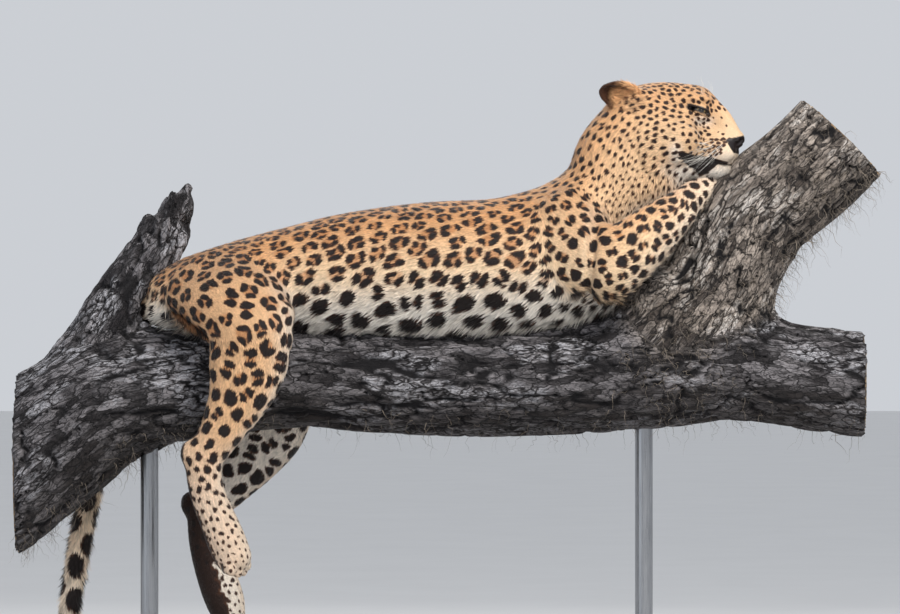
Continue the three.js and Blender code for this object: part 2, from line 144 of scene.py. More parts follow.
class Tube:
    """A soft tube of oval sections through stations of (x, across, height, half width, half height)."""

    STEPS = 5
    MARGIN = 0.07

    def __init__(self, *stations, side=(0, 1, 0), place=at):
        table = np.array(stations, float)
        path = curve_through(list(table[:, :3]), self.STEPS)
        self.path = np.array([place(*p) for p in path])
        self.sizes = curve_through(list(table[:, 3:]), self.STEPS) * MM
        self.links = []
        run = 0.0
        for a, b, low, high in zip(self.path, self.path[1:], self.sizes, self.sizes[1:]):
            length = np.linalg.norm(b - a)
            t = (b - a) / length
            s = direction(side, square_to=t)
            self.links.append((a, np.stack([s, np.cross(t, s), t]), length, low, high, run))
            run += length
        self.length = run
        reach = self.sizes.max() + self.MARGIN
        self.low, self.high = self.path.min(0) - reach, self.path.max(0) + reach

    def distance(self, points):
        best = np.full(len(points), np.inf)
        for a, axes, length, low, high, _ in self.links:
            x, y, z = axes @ (points - a).T
            held = np.clip(z, 0, length)
            wide, tall = low[:, None] + (high - low)[:, None] * (held / length)
            z = z - held
            ratio = np.sqrt((x / wide) ** 2 + (y / tall) ** 2 + (z / np.minimum(wide, tall)) ** 2) + 1e-9
            best = np.minimum(best, (ratio - 1) * np.sqrt(x * x + y * y + z * z) / ratio)
        return best

    def locate(self, points):
        """Where each point is: run along the tube, place across its section, and the tube's own direction."""
        best = np.full(len(points), np.inf)
        run, across, ahead = np.zeros(len(points)), np.zeros((len(points), 2)), np.zeros((len(points), 3))
        for a, axes, length, _, _, start in self.links:
            local = (points - a) @ axes.T
            held = np.clip(local[:, 2], 0, length)
            away = local - held[:, None] * np.array([0, 0, 1])
            distance = (away**2).sum(1)
            closer = distance < best
            best[closer] = distance[closer]
            run[closer] = start + held[closer]
            across[closer] = local[closer, :2]
            ahead[closer] = axes[2]
        return run, across, ahead

    def __call__(self, points):
        """The distance alone. Far from the tube it is only a safe bound, which saves most of the work."""
        outside = np.maximum(np.maximum(self.low - points, points - self.high), 0)
        distance = self.MARGIN + lengths(outside)
        near = (outside == 0).all(1)
        if near.any():
            distance[near] = self.distance(points[near])
        return distance


# %% [markdown]
# ## The trunk, neck, legs and tail
# The real animal lies along the branch with its belly on it. The trunk is one long tube, widest at the ribs.
# The neck rises from the shoulders, and the throat is a soft egg under the jaw.

# %% Trunk, neck and tail
torso = Tube(
    (-482, 0, 55, 30, 28),
    (-460, 0, 60, 66, 52),
    (-415, 0, 66, 88, 70),
    (-324, 0, 79, 97, 86),
    (-234, 0, 90, 100, 98),
    (-144, 0, 99, 110, 111),
    (-54, 0, 104, 121, 120),
    (36, 0, 108, 128, 124),
    (126, 0, 112, 128, 123),
    (205, 0, 116, 118, 121),
    (262, 0, 116, 102, 106),
    (306, 0, 112, 80, 84),
)
neck = Tube(
    (190, 0, 138, 94, 94),
    (262, 0, 190, 83, 88),
    (316, -2, 240, 75, 86),
    (346, -4, 298, 73, 90),
    (378, -5, 344, 68, 84),
)
tail = Tube(
    (-470, 6, 50, 28, 28),
    (-506, 16, 30, 27, 27),
    (-534, 58, 8, 25, 25),
    (-560, 108, -40, 24, 24),
    (-582, 138, -112, 24, 24),
    (-606, 142, -220, 23, 23),
    (-628, 140, -330, 22, 22),
    (-648, 136, -440, 21, 21),
    (-662, 131, -550, 19, 19),
    (-660, 127, -640, 16, 16),
    (-640, 124, -690, 11, 11),
    (-626, 123, -702, 8, 8),
)
throat = (at(394, -5, 262), mm(64, 60, 54))
print(f"trunk {torso.length:.2f} m, neck {neck.length:.2f} m, tail {tail.length:.2f} m")

# %% Legs
# A foot's spread is the way in which its toes stand side by side.
THIGH_SIDES = {"right": (0, -0.7, 0.7), "left": (0, 0.7, 0.7)}
legs = {
    "right": {
        "thigh": Tube(
            (-398, -52, 74, 52, 84),
            (-350, -104, 50, 60, 92),
            (-300, -146, 6, 48, 74),
            side=THIGH_SIDES["right"],
        ),
        "shank": Tube(
            (-303, -150, -12, 44, 66),
            (-319, -152, -52, 45, 75),
            (-327, -152, -94, 42, 67),
            (-350, -150, -148, 36, 52),
            (-378, -147, -197, 30, 40),
            (-398, -145, -228, 28, 37),
            (-398, -145, -274, 27, 34),
            (-387, -145, -312, 28, 34),
            (-370, -146, -352, 31, 35),
            (-357, -148, -384, 36, 36),
            (-348, -150, -404, 37, 34),
        ),
        "heel": at(-424, -145, -221),
        "upper_arm": Tube(
            (216, -74, 168, 44, 86),
            (266, -96, 136, 48, 76),
            (318, -116, 104, 44, 60),
        ),
        "forearm": Tube(
            (316, -116, 102, 43, 59),
            (352, -112, 134, 43, 58),
            (396, -96, 170, 40, 52),
            (434, -74, 202, 34, 40),
            (466, -46, 230, 30, 31),
            (490, -12, 250, 33, 24),
            (510, 24, 262, 36, 22),
            (524, 46, 264, 34, 20),
        ),
        "hind_spread": (0.5, 0.87, 0),
        "fore_spread": (0.75, -0.5, 0.35),
    },
    "left": {
        "thigh": Tube(
            (-398, 52, 72, 52, 84),
            (-345, 108, 22, 56, 86),
            (-262, 150, -112, 48, 60),
            side=THIGH_SIDES["left"],
        ),
        "shank": Tube(
            (-262, 152, -128, 44, 58),
            (-288, 154, -186, 42, 64),
            (-326, 154, -238, 38, 57),
            (-372, 152, -290, 32, 46),
            (-408, 150, -330, 28, 38),
            (-411, 150, -374, 27, 36),
            (-402, 150, -420, 28, 37),
            (-389, 150, -462, 30, 38),
            (-376, 150, -500, 36, 37),
            (-368, 150, -524, 35, 31),
        ),
        "heel": at(-440, 150, -322),
        "upper_arm": Tube(
            (216, 74, 168, 44, 86),
            (262, 98, 138, 48, 76),
            (312, 120, 106, 44, 58),
        ),
        "forearm": Tube(
            (310, 122, 104, 42, 56),
            (352, 128, 124, 42, 54),
            (400, 132, 146, 38, 46),
            (444, 134, 162, 33, 36),
            (484, 134, 172, 28, 30),
            (520, 130, 184, 24, 32),
            (548, 122, 200, 22, 35),
        ),
        "hind_spread": (0, 1, 0),
        "fore_spread": (-0.5, 0, 1),
    },
}
LEG_PARTS = ("thigh", "shank", "upper_arm", "forearm")
HEEL = mm(21, 21, 25)
TOE_SPREAD = 0.018
TOE_OUT = 0.026
HIND_TOE, FORE_TOE = 0.0190, 0.0155
TOE_SQUEEZE = 0.68
FOOT_REACH = 0.12
TOE_MELT, HEEL_MELT, KNEE_MELT, ELBOW_MELT = 0.004, 0.016, 0.030, 0.022


def toe_places(tube, spread):
    """The middles of the four toes, and the way they point."""
    end = tube.path[-1]
    ahead = direction(end - tube.path[-1 - Tube.STEPS])
    across = direction(spread, square_to=ahead)
    offsets = (np.arange(TOES) - (TOES - 1) / 2) * TOE_SPREAD
    places = [end + ahead * (TOE_OUT - abs(o) * 0.35) + across * o for o in offsets]
    return places, ahead, across


def toe_egg(points, place, ahead, size):
    """An egg that is longer the way the toe points."""
    v = points - place
    along = (v @ ahead)[:, None] * ahead
    squeezed = (v - along) / TOE_SQUEEZE + along
    return (lengths(squeezed) - size) * 0.75


def pads(tube, spread, under):
    """Places and sizes of the pads under a foot. The last is the large one behind the toes."""
    places, ahead, across = toe_places(tube, spread)
    sole = np.cross(ahead, across) * under
    small = [(place + sole * 0.0095 + ahead * 0.002, 0.0085) for place in places]
    return [*small, (tube.path[-1] - ahead * 0.002 + sole * 0.018, 0.0165)]


def foot(points, tube, spread, size, under):
    places, ahead, _ = toe_places(tube, spread)
    distance = tube(points)
    near = lengths(points - tube.path[-1]) < FOOT_REACH
    if near.any():
        toes = distance[near]
        for place in places:
            toes = smooth_min(toes, toe_egg(points[near], place, ahead, size), TOE_MELT)
        for place, radius in pads(tube, spread, under):
            toes = smooth_min(toes, lengths(points[near] - place) - radius, TOE_MELT)
        distance[near] = toes
    return distance


def hind_leg(points, leg):
    shank = foot(points, leg["shank"], leg["hind_spread"], HIND_TOE, -1)
    shank = smooth_min(shank, egg(points, leg["heel"], HEEL), HEEL_MELT)
    return smooth_min(leg["thigh"](points), shank, KNEE_MELT)


def fore_leg(points, leg):
    arm = foot(points, leg["forearm"], leg["fore_spread"], FORE_TOE, 1)
    return smooth_min(leg["upper_arm"](points), arm, ELBOW_MELT)


print("hind feet point", [np.round(toe_places(leg["shank"], (0, 1, 0))[1], 2) for leg in legs.values()])


# %% [markdown]
# ## The head
# The head is shaped in its own frame, x to the nose and z up, and turned a little towards the animal's right.
# A leopard has a long flat forehead, a deep square muzzle, full whisker pads and a strong chin. The eyes are
# nearly shut, so each lid is a thin shell over the eyeball, slit from a high outer corner to a low inner one.

# %% The frame of the head
HEAD_PLACE = at(432, -5, 356)
cos, sin = math.cos(HEAD_TURN), math.sin(HEAD_TURN)
HEAD_AXES = np.array([[cos, -sin, 0], [sin, cos, 0], [0, 0, 1]])  # rows: forward, left, up


def to_head(points):
    return (points - HEAD_PLACE) @ HEAD_AXES.T


def from_head(points):
    return points @ HEAD_AXES + HEAD_PLACE


muzzle = Tube((36, 0, -26, 46, 50), (70, 0, -33, 39, 42), (91, 0, -32, 33, 34), place=mm)
bridge = Tube((52, 0, 42, 27, 28), (88, 0, 22, 20, 22), (118, 0, -12, 17, 14), place=mm)
jaw = Tube((-24, 0, -66, 48, 30), (50, 0, -70, 33, 19), (86, 0, -70, 20, 13), place=mm)


# %% Skull, face, lids and mouth
SLIT_HALF, SLIT_DEPTH = 0.0009, 0.0015
SKULL_MELT, FACE_MELT = 0.026, 0.018
SKULL_EGGS = (
    # middle and radii in millimetres: forehead, brow, and on both sides cheekbone, cheek and root of the ear
    ((12, 0, 34), (60, 46, 50)),
    ((50, 0, 38), (30, 42, 34)),
    ((6, 48, -20), (54, 32, 48)),
    ((-46, 36, -38), (52, 36, 52)),
    ((-46, 45, 45), (27, 15, 22)),
)


def eye_place(s):
    return mm(59, s * 31, 31)


def eye_axes(s):
    """Unit vectors along the slit, out of the eye, and across the lids."""
    along = direction((0.80, -s * 0.42, -0.32))
    out = direction((0.45, s * 0.86, 0.08), square_to=along)
    return np.array([along, out, np.cross(along, out)])


def slit(v, s):
    """Distance to the gap between the lids, a thin disc that ends just inside the eyeball."""
    turned = (v - eye_place(s)) @ eye_axes(s).T
    disc = egg(turned * np.array([1, 1, 0]), mm(-7, 14, 0), mm(19, 15, 15))
    disc = np.hypot(np.maximum(disc, 0), turned[:, 2]) - SLIT_HALF
    return np.maximum(disc, EYE_RADIUS - SLIT_DEPTH - lengths(turned))


def mouth_height(x):
    """Height of the line of the mouth at each x of the head's frame."""
    places = mm(20, 44, 70, 92, 108, 122, 134)
    heights = mm(-52, -56, -57, -61.5, -64, -61, -52)
    return np.interp(x, places, heights)


def grown(form, v, centre, radii, reach):
    """A form with an egg melted on, its middle and radii in millimetres of the head's frame."""
    return smooth_min(form, egg(v, mm(*centre), mm(*radii)), reach)


def dented(form, v, centre, radii, reach):
    return carve(form, egg(v, mm(*centre), mm(*radii)), reach)


def head_form(points):
    v = to_head(points)
    form = egg(v, mm(-38, 0, 22), mm(70, 60, 62))
    for (x, y, z), radii in SKULL_EGGS:
        for across in (y, -y) if y else (0,):
            form = grown(form, v, (x, across, z), radii, SKULL_MELT)
    for s in SIDES.values():
        form = dented(form, v, (-84, s * 54, 31), (15, 14, 8), 0.010)  # notch behind the ear
    for part in (muzzle, bridge, jaw):
        form = smooth_min(form, part(v), FACE_MELT)
    form = grown(form, v, (125, 0, -20), (12, 17, 13), 0.010)  # nose
    for s in SIDES.values():
        form = grown(form, v, (97, s * 19, -42), (27, 20, 21), 0.010)  # whisker pad
        form = grown(form, v, (55, s * 33, 52), (27, 15, 9), 0.012)  # brow ridge
        form = dented(form, v, (82, s * 45, 26), (13, 12, 9), 0.014)  # hollow before the eye
        lids = lengths(v - eye_place(s)) - EYE_RADIUS - LID_THICKNESS - 0.0015
        form = smooth_min(form, lids, 0.007)
    form = grown(form, v, (89, 0, -70), (23, 21, 14), 0.010)  # chin
    return grown(form, v, (101, 0, -60), (15, 17, 11), 0.006)  # lower lip


def head_creases(points, form):
    """The slits of the eyes, the folds over them, the nostrils and the line of the mouth, cut into a form."""
    v = to_head(points)
    for s in SIDES.values():
        eye = eye_place(s)
        turned = (v - eye) @ eye_axes(s).T
        fold = np.abs(turned[:, 2] - 0.0090 + 12 * turned[:, 0] ** 2) + 0.0003
        shell = np.abs(lengths(v - eye) - 0.019) - 0.004
        form = carve(form, np.maximum.reduce([fold, shell, -0.004 - turned[:, 1]]), 0.003)
        form = carve(form, slit(v, s), 0.0012)
        form = dented(form, v, (136, s * 9.5, -22), (8, 4.6, 3.6), 0.003)
        form = dented(form, v, (131, s * 15.5, -26), (7, 5, 2.0), 0.003)
    philtrum = np.maximum(np.abs(v[:, 1]) + 0.0005, np.abs(v[:, 2] + 0.045) - 0.017)
    form = carve(form, np.maximum(philtrum, 0.104 - v[:, 0]), 0.004)
    sheet = np.abs(v[:, 2] - mouth_height(v[:, 0])) + 0.0004
    sheet = np.maximum(sheet, 0.020 - v[:, 0])
    depth = np.interp(v[:, 0], mm(96, 110), mm(4.5, 1.5))
    return carve(form, np.maximum(sheet, -(form + depth)), 0.004)


# %% Ears
EAR_LONG, EAR_WIDE, EAR_DEEP, EAR_WALL = mm(40, 27, 16, 4.0)
EAR_LIFT = {"right": math.radians(13), "left": math.radians(2)}
EAR_TAPER = 0.12


def ear_frame(name):
    """The middle of an ear and its axes: out of the cup, across it, and along it to the tip."""
    s, lift = SIDES[name], EAR_LIFT[name]
    along = direction((-math.cos(lift), s * 0.3, math.sin(lift)))
    out = direction((0.1, s, -0.45), square_to=along)
    return mm(-54, s * 50, 54) + along * EAR_LONG * 0.70, np.array([out, np.cross(along, out), along])


def ear_form(points, name):
    middle, axes = ear_frame(name)
    v = (to_head(points) - middle) @ axes.T
    v[:, 1] *= 1 + EAR_TAPER * np.clip(v[:, 2] / EAR_LONG, -0.5, 1)
    outer = egg(v, mm(0, 0, 0), np.array([EAR_DEEP, EAR_WIDE, EAR_LONG]) - 0.001)
    hollow = np.array([EAR_DEEP + 0.002, EAR_WIDE, EAR_LONG]) - EAR_WALL
    return carve(outer, egg(v, mm(5.5, 0, 2), hollow), 0.003)


print("ear middles", {name: np.round(ear_frame(name)[0], 3).tolist() for name in SIDES})

# %% [markdown]
# ## One form for the whole animal
# Melting everything into everything would fill the armpits and glue the chin to the wrist. So the trunk is
# melted with the legs and with the neck, and those two are joined with only a small radius, which leaves the
# sharp fold between neck and foreleg. The skin lies inside the solids by the depth of the coat.


# %% The whole form and the coat's depth
HEAD_REACH = 0.24
HIP_MELT, SHOULDER_MELT, TAIL_MELT, THROAT_MELT, COLLAR_MELT = 0.030, 0.024, 0.022, 0.030, 0.022
CHIN_MELT, CHEST_MELT = 0.004, 0.044


def arm_fold(points, form):
    """The crease on the inside of the bent elbow, a thin sheet cut into each upper foreleg."""
    v = points - at(286, 0, 118)
    sheet = np.abs(v[:, 0] - 0.10 * v[:, 2]) - 0.0010
    window = np.maximum(np.abs(v[:, 2]) - 0.085, 0.085 - np.abs(v[:, 1]))
    return carve(form, np.maximum.reduce([sheet, window, -(form + 0.011)]), 0.014)


def body_form(points):
    trunk = torso(points)
    legged = trunk
    for leg in legs.values():
        legged = smooth_min(legged, hind_leg(points, leg), HIP_MELT)
        legged = smooth_min(legged, fore_leg(points, leg), SHOULDER_MELT)
    legged = arm_fold(points, legged)
    legged = smooth_min(legged, tail(points), TAIL_MELT)
    headed = smooth_min(neck(points), egg(points, *throat), THROAT_MELT)
    near = lengths(points - HEAD_PLACE) < HEAD_REACH
    if near.any():
        some = points[near]
        face = smooth_min(head_form(some), headed[near], COLLAR_MELT)
        headed[near] = head_creases(some, face)
    forearms = np.minimum(*(leg["forearm"](points) for leg in legs.values()))
    others = np.minimum(trunk, np.minimum(*(leg["upper_arm"](points) for leg in legs.values())))
    return smooth_min(legged, headed, CHIN_MELT + CHEST_MELT * ramp(forearms - others, -0.012, 0.030))


def coat_depth(points):
    """How deep the coat is: short on the face and feet, longer on the trunk and tail."""
    from_head = lengths((points - HEAD_PLACE) / mm(150, 110, 110))
    depth = np.interp(from_head, [0.85, 1.25], mm(1.5, 5.0))
    feet = [leg[part].path[-1] for leg in legs.values() for part in ("shank", "forearm")]
    from_feet = np.min([lengths(points - foot_end) for foot_end in feet], axis=0)
    return np.minimum(depth, np.interp(from_feet, mm(60, 220), mm(2.0, 5.0)))


def skin_form(points):
    return body_form(points) + coat_depth(points)


# %% [markdown]
# ## From form to skin
# A surface net lays one vertex in each small cell that the surface crosses and joins neighbours with
# quads, which makes an even mesh of one piece. It starts coarse, so that only cells near the surface are
# ever worked out. Then the face and feet are divided further, and every vertex is moved onto the true form.


# %% Surface net
SEARCH = 1.6  # steps from the surface within which a finer grid is worked out


def near_surface(form, low, high, step, halvings):
    """Values of a form on a fine grid, exact near the surface and only of the right sign elsewhere."""
    step = step * 2**halvings
    shape = np.ceil((high - low) / step).astype(int) + 1
    grid = np.stack(np.meshgrid(*(np.arange(n) for n in shape), indexing="ij"), -1)
    values = form(low + grid.reshape(-1, 3) * step).reshape(shape)
    for _ in range(halvings):
        wanted = np.abs(values) < step * SEARCH
        for axis in range(3):
            values = np.repeat(values, 2, axis)
            wanted = np.repeat(wanted, 2, axis)
        step /= 2
        places = np.argwhere(wanted)
        values[tuple(places.T)] = form(low + places * step)
    return values, step


CORNERS = np.stack(np.meshgrid((0, 1), (0, 1), (0, 1), indexing="ij"), -1).reshape(-1, 3)
CELL_EDGES = [(a, b) for a in range(8) for b in range(a) if np.abs(CORNERS[a] - CORNERS[b]).sum() == 1]


def surface_net(form, low, high, step, halvings=2):
    """Vertices and quads of the surface of a form inside a box."""
    values, step = near_surface(form, low, high, step, halvings)
    inside = values < 0
    size = np.array(values.shape) - 1
    count = np.zeros(size, np.int8)
    for corner in CORNERS:
        count += inside[tuple(slice(c, c + n) for c, n in zip(corner, size))]
    cells = np.argwhere((count > 0) & (count < 8))
    corner_values = np.stack([values[tuple((cells + corner).T)] for corner in CORNERS], 1)
    total, crossings = np.zeros((len(cells), 3)), np.zeros(len(cells))
    for a, b in CELL_EDGES:
        va, vb = corner_values[:, a], corner_values[:, b]
        crossed = (va < 0) != (vb < 0)
        share = np.where(crossed, va / np.where(crossed, va - vb, 1), 0)[:, None]
        total += np.where(crossed[:, None], CORNERS[a] + share * (CORNERS[b] - CORNERS[a]), 0)
        crossings += crossed
    points = low + (cells + total / crossings[:, None]) * step
    number = np.full(size, -1)
    number[tuple(cells.T)] = np.arange(len(cells))
    quads = []
    for axis in range(3):
        u, v = (axis + 1) % 3, (axis + 2) % 3
        here = [slice(0, n) for n in size]
        here[u], here[v] = slice(1, size[u]), slice(1, size[v])
        there = list(here)
        there[axis] = slice(1, size[axis] + 1)
        first, second = inside[tuple(here)], inside[tuple(there)]
        starts = np.argwhere(first != second) + np.array([0 if k == axis else 1 for k in range(3)])
        leaving = inside[tuple(starts.T)]
        ring = []
        for du, dv in ((1, 1), (0, 1), (0, 0), (1, 0)):
            cell = starts.copy()
            cell[:, u] -= du
            cell[:, v] -= dv
            ring.append(number[tuple(cell.T)])
        ring = np.stack(ring, 1)
        ring[~leaving] = ring[~leaving][:, ::-1]
        quads.append(ring)
    return points, np.concatenate(quads)


# %% Moving vertices onto the form
PROBE = 0.0006
LONGEST_MOVE = 0.004
LEAST_SLOPE = 0.09


def slope_of(form, points):
    """The value and the gradient of a form, by a small step along each axis."""
    value = form(points)
    return value, np.stack([(form(points + d) - value) / PROBE for d in np.eye(3) * PROBE], 1)


def settle(form, points, rounds=2):
    """Moves points onto the zero surface of a form, a short way at a time."""
    for _ in range(rounds):
        value, slope = slope_of(form, points)
        step = value[:, None] * slope / np.maximum((slope**2).sum(1), LEAST_SLOPE)[:, None]
        length = np.linalg.norm(step, axis=1, keepdims=True)
        points = points - step * np.minimum(1, LONGEST_MOVE / np.maximum(length, 1e-9))
    return points


def relax(points, edges, strength=0.5):
    """Moves each vertex towards the middle of its neighbours."""
    ends = np.concatenate([edges, edges[:, ::-1]])
    degree = np.maximum(np.bincount(ends[:, 0], minlength=len(points)), 1)
    sums = [np.bincount(ends[:, 0], column[ends[:, 1]], len(points)) for column in points.T]
    return points + strength * (np.stack(sums, 1) / degree[:, None] - points)


def edges_of(mesh):
    edges = np.empty(len(mesh.edges) * 2, np.int32)
    mesh.edges.foreach_get("vertices", edges)
    return edges.reshape(-1, 2)


def rows_of(mesh, key):
    rows = np.empty(len(mesh.vertices) * 3, np.float32)
    mesh.vertices.foreach_get(key, rows)
    return rows.reshape(-1, 3).astype(float)


def points_of(mesh):
    return rows_of(mesh, "co")


def move_points(mesh, points):
    mesh.vertices.foreach_set("co", points.astype(np.float32).ravel())
    mesh.update()


def new_mesh(name, points, faces):
    mesh = bpy.data.meshes.new(name)
    mesh.from_pydata(points.tolist(), [], faces.tolist())
    mesh.update()
    return mesh


def divide(mesh, chosen):
    """Divides every edge of a mesh whose two ends are chosen."""
    form = bmesh.new()
    form.from_mesh(mesh)
    form.verts.ensure_lookup_table()
    edges = [e for e in form.edges if chosen[e.verts[0].index] and chosen[e.verts[1].index]]
    bmesh.ops.subdivide_edges(form, edges=edges, cuts=1, use_grid_fill=True)
    form.to_mesh(mesh)
    form.free()
    mesh.update()


def shape_onto(mesh, form, chosen):
    """Evens out the chosen vertices of a mesh and settles them on a form."""
    points = points_of(mesh)
    some = chosen(points)
    even = relax(points, edges_of(mesh))
    points[some] = settle(form, even[some])
    move_points(mesh, points)


def everywhere(points):
    return np.ones(len(points), bool)


# %% The skin
SKIN_STEP = 0.0058


def fine_places(points):
    """Where the skin needs a finer mesh: the head, and the four feet."""
    near = lengths((points - at(432, -5, 345)) / mm(165, 100, 115)) < 1
    for leg in legs.values():
        near |= lengths(points - leg["shank"].path[-1]) < 0.070
        near |= lengths(points - leg["forearm"].path[-1]) < 0.060
    return near


def finest_places(points):
    """Eyes, nose and lips."""
    v = to_head(points)
    near = np.zeros(len(v), bool)
    for s in SIDES.values():
        near |= lengths(v - eye_place(s) - mm(3, s * 6, 0)) < 0.026
    near |= (v[:, 0] > 0.108) & (np.abs(v[:, 2] + 0.035) < 0.045)
    return near | ((v[:, 0] > 0.030) & (np.abs(v[:, 2] - mouth_height(v[:, 0])) < 0.005))


tubes = [torso, neck, tail, *(leg[part] for leg in legs.values() for part in LEG_PARTS)]
skin_low = np.min([tube.low for tube in tubes], axis=0) + 0.06
skin_high = np.max([*(tube.high - 0.06 for tube in tubes), from_head(mm(170, 60, 110))], axis=0)
skin_mesh = new_mesh("skin", *surface_net(skin_form, skin_low, skin_high, SKIN_STEP))
shape_onto(skin_mesh, skin_form, everywhere)
print("coarse skin", len(skin_mesh.vertices), "vertices")
for places in (fine_places, finest_places):
    divide(skin_mesh, places(points_of(skin_mesh)))
    shape_onto(skin_mesh, skin_form, places)
print("skin", len(skin_mesh.vertices), "vertices,", len(skin_mesh.polygons), "faces")

# %% The ears, on a finer net
EAR_STEP = 0.0021
EAR_REACH = 0.05


def join_meshes(name, *meshes):
    """Puts several meshes in one, and deletes them."""
    whole = bmesh.new()
    for mesh in meshes:
        whole.from_mesh(mesh)
    joined = bpy.data.meshes.new(name)
    whole.to_mesh(joined)
    whole.free()
    for mesh in meshes:
        bpy.data.meshes.remove(mesh)
    return joined


ear_meshes = []
for name in SIDES:
    middle = from_head(ear_frame(name)[0])
    form = partial(ear_form, name=name)
    mesh = new_mesh("ear", *surface_net(form, middle - EAR_REACH, middle + EAR_REACH, EAR_STEP, 1))
    shape_onto(mesh, form, everywhere)
    ear_meshes.append(mesh)
skin_mesh = join_meshes("skin", skin_mesh, *ear_meshes)
skin_mesh.shade_smooth()
skin = in_scene("skin", skin_mesh)
print("skin with ears", len(skin_mesh.vertices), "vertices")

# %% [markdown]
# ## The branch
# The branch, the rising limb and the stump of a broken one are cut from one tree, so they are one form too.
# The same smooth minimum melts the limb into the branch, as wood swells round a fork. The stump's top is
# roughened with random lumps, because torn wood has no smooth edge, and a groove makes way for the tail.

# %% The form of the wood
branch = Tube(
    (-790, 0, -288, 122, 128),
    (-665, 0, -186, 118, 124),
    (-594, 0, -140, 112, 116),
    (-504, 0, -114, 102, 104),
    (-414, 0, -103, 94, 95),
    (-234, 0, -91, 88, 88),
    (-54, 0, -94, 93, 93),
    (126, 0, -94, 96, 96),
    (306, 0, -84, 98, 100),
    (486, 0, -74, 92, 93),
    (630, 0, -84, 88, 89),
    (800, 0, -104, 90, 90),
)
limb = Tube(
    (430, 0, -30, 90, 92),
    (522, 2, 84, 94, 96),
    (586, 4, 194, 95, 97),
    (698, 4, 304, 98, 96),
    (828, 4, 428, 98, 96),
)
stump = Tube(
    (-600, 20, -60, 78, 78),
    (-543, 34, 58, 54, 59),
    (-488, 44, 150, 38, 46),
    (-462, 48, 206, 22, 30),
    (-446, 50, 236, 10, 14),
    (-442, 50, 256, 4, 5),
)
WOOD = (branch, limb, stump)
LIMB_END = at(742, 4, 340)
LIMB_LEAN = math.radians(46)
LIMB_SAW = np.array([math.cos(LIMB_LEAN), 0, math.sin(LIMB_LEAN)])
BRANCH_LEFT, BRANCH_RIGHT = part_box("perch_branch")[0][0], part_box("perch_branch")[1][0]
HASH = rng.uniform(-1, 1, 1 << 16)
HASH_PRIMES = np.array([73856093, 19349663, 83492791])
FORK_MELT, CROTCH_MELT, STUMP_MELT, GROOVE_MELT = 0.085, 0.030, 0.040, 0.012
TORN_DEPTH, TORN_SIZE = 0.016, 0.014


def lumps(points, size):
    """Smooth random lumps of a given size, between -1 and 1."""
    share = points / size
    cell = np.floor(share).astype(np.int64)
    share = share - cell
    share = share * share * (3 - 2 * share)
    total = np.zeros(len(points))
    for corner in CORNERS:
        key = (cell + corner) @ HASH_PRIMES
        total += HASH[(key ^ (key >> 13)) & 0xFFFF] * np.prod(np.where(corner, share, 1 - share), axis=1)
    return total


def wood_form(points):
    wood = smooth_min(branch(points), limb(points), FORK_MELT)
    wood = smooth_min(wood, egg(points, at(400, 0, 60), mm(50, 84, 38)), CROTCH_MELT)
    broken = stump(points)
    torn = ramp(points[:, 2], PERCH_TOP + 0.13, PERCH_TOP + 0.22)
    near = (torn > 0) & (broken < 0.02)
    broken[near] += (torn * TORN_DEPTH)[near] * lumps(points[near] * np.array([1, 1, 0.35]), TORN_SIZE)
    return carve(smooth_min(wood, broken, STUMP_MELT), tail(points) - 0.004, GROOVE_MELT)


def wood_grain(points):
    """A place in the wood with its length pressed together, so that lumps made from it run with the grain."""
    near = np.argmin([tube(points) for tube in WOOD], axis=0)
    grain = np.zeros((len(points), 3))
    for k, tube in enumerate(WOOD):
        mine = near == k
        run, across, _ = tube.locate(points[mine])
        grain[mine] = np.column_stack([run * 0.35 + k * 3, across])
    return grain


def sawn(points, form):
    """Cuts the wood square at its two ends and across the limb."""
    ends = np.maximum(BRANCH_LEFT + 0.001 - points[:, 0], points[:, 0] - BRANCH_RIGHT + 0.001)
    form = np.where(points[:, 2] < PERCH_TOP + 0.12, np.maximum(form, ends), form)
    return np.maximum(form, (points - LIMB_END) @ LIMB_SAW)


def wood_block(points):
    return sawn(points, wood_form(points))


# %% [markdown]
# ## Bark
# Old bark is split by cracks that wander along the grain and leave ridges between them. Where a smooth random
# field passes through zero it draws just such wandering lines, so two fields of different size, pressed
# together along the grain, make the main cracks and the small ones. They are cut into the mesh itself, and
# only the fine flakes between them are left to the material.

# %% The bark
BARK_STEP = 0.0054
BARK_RISE, MAIN_DEPTH, SMALL_DEPTH, SWELL, BARK_THICK = 0.0035, 0.0095, 0.0045, 0.0050, 0.0030
bark_low, bark_high = branch.low + 0.06, np.maximum(branch.high, limb.high) - 0.03
bark_mesh = new_mesh("bark", *surface_net(wood_block, bark_low, bark_high, BARK_STEP))
shape_onto(bark_mesh, wood_block, everywhere)
bark_points = points_of(bark_mesh)
bark_normals = rows_of(bark_mesh, "normal")
bark_grain = wood_grain(bark_points)
wander = np.stack([lumps(bark_grain + k, 0.045) for k in (5.0, 6.0, 7.0)], 1) * 0.012
wander += np.stack([lumps(bark_grain + k, 0.016) for k in (8.0, 9.0, 10.0)], 1) * 0.006
wandered = bark_grain + wander
main_crack = np.exp(-np.abs(lumps(wandered * np.array([0.7, 1, 1]), 0.019)) / 0.11)
small_crack = np.exp(-np.abs(lumps(wandered + 2.0, 0.011)) / 0.15)
bark_crack = np.maximum(main_crack, 0.6 * small_crack)
bark_patch = lumps(wandered + 4.0, 0.034) + 0.7 * lumps(wandered + 3.0, 0.012)
bark_cover = np.clip(1 + wood_form(bark_points) / BARK_THICK, 0, 1)
relief = BARK_RISE - MAIN_DEPTH * main_crack - SMALL_DEPTH * small_crack + SWELL * lumps(bark_grain, 0.050)
move_points(bark_mesh, bark_points + bark_normals * (relief * bark_cover)[:, None])
bark_mesh.shade_smooth()
bark = in_scene("bark", bark_mesh)
print("bark", len(bark_mesh.vertices), "vertices,", len(bark_mesh.polygons), "faces")

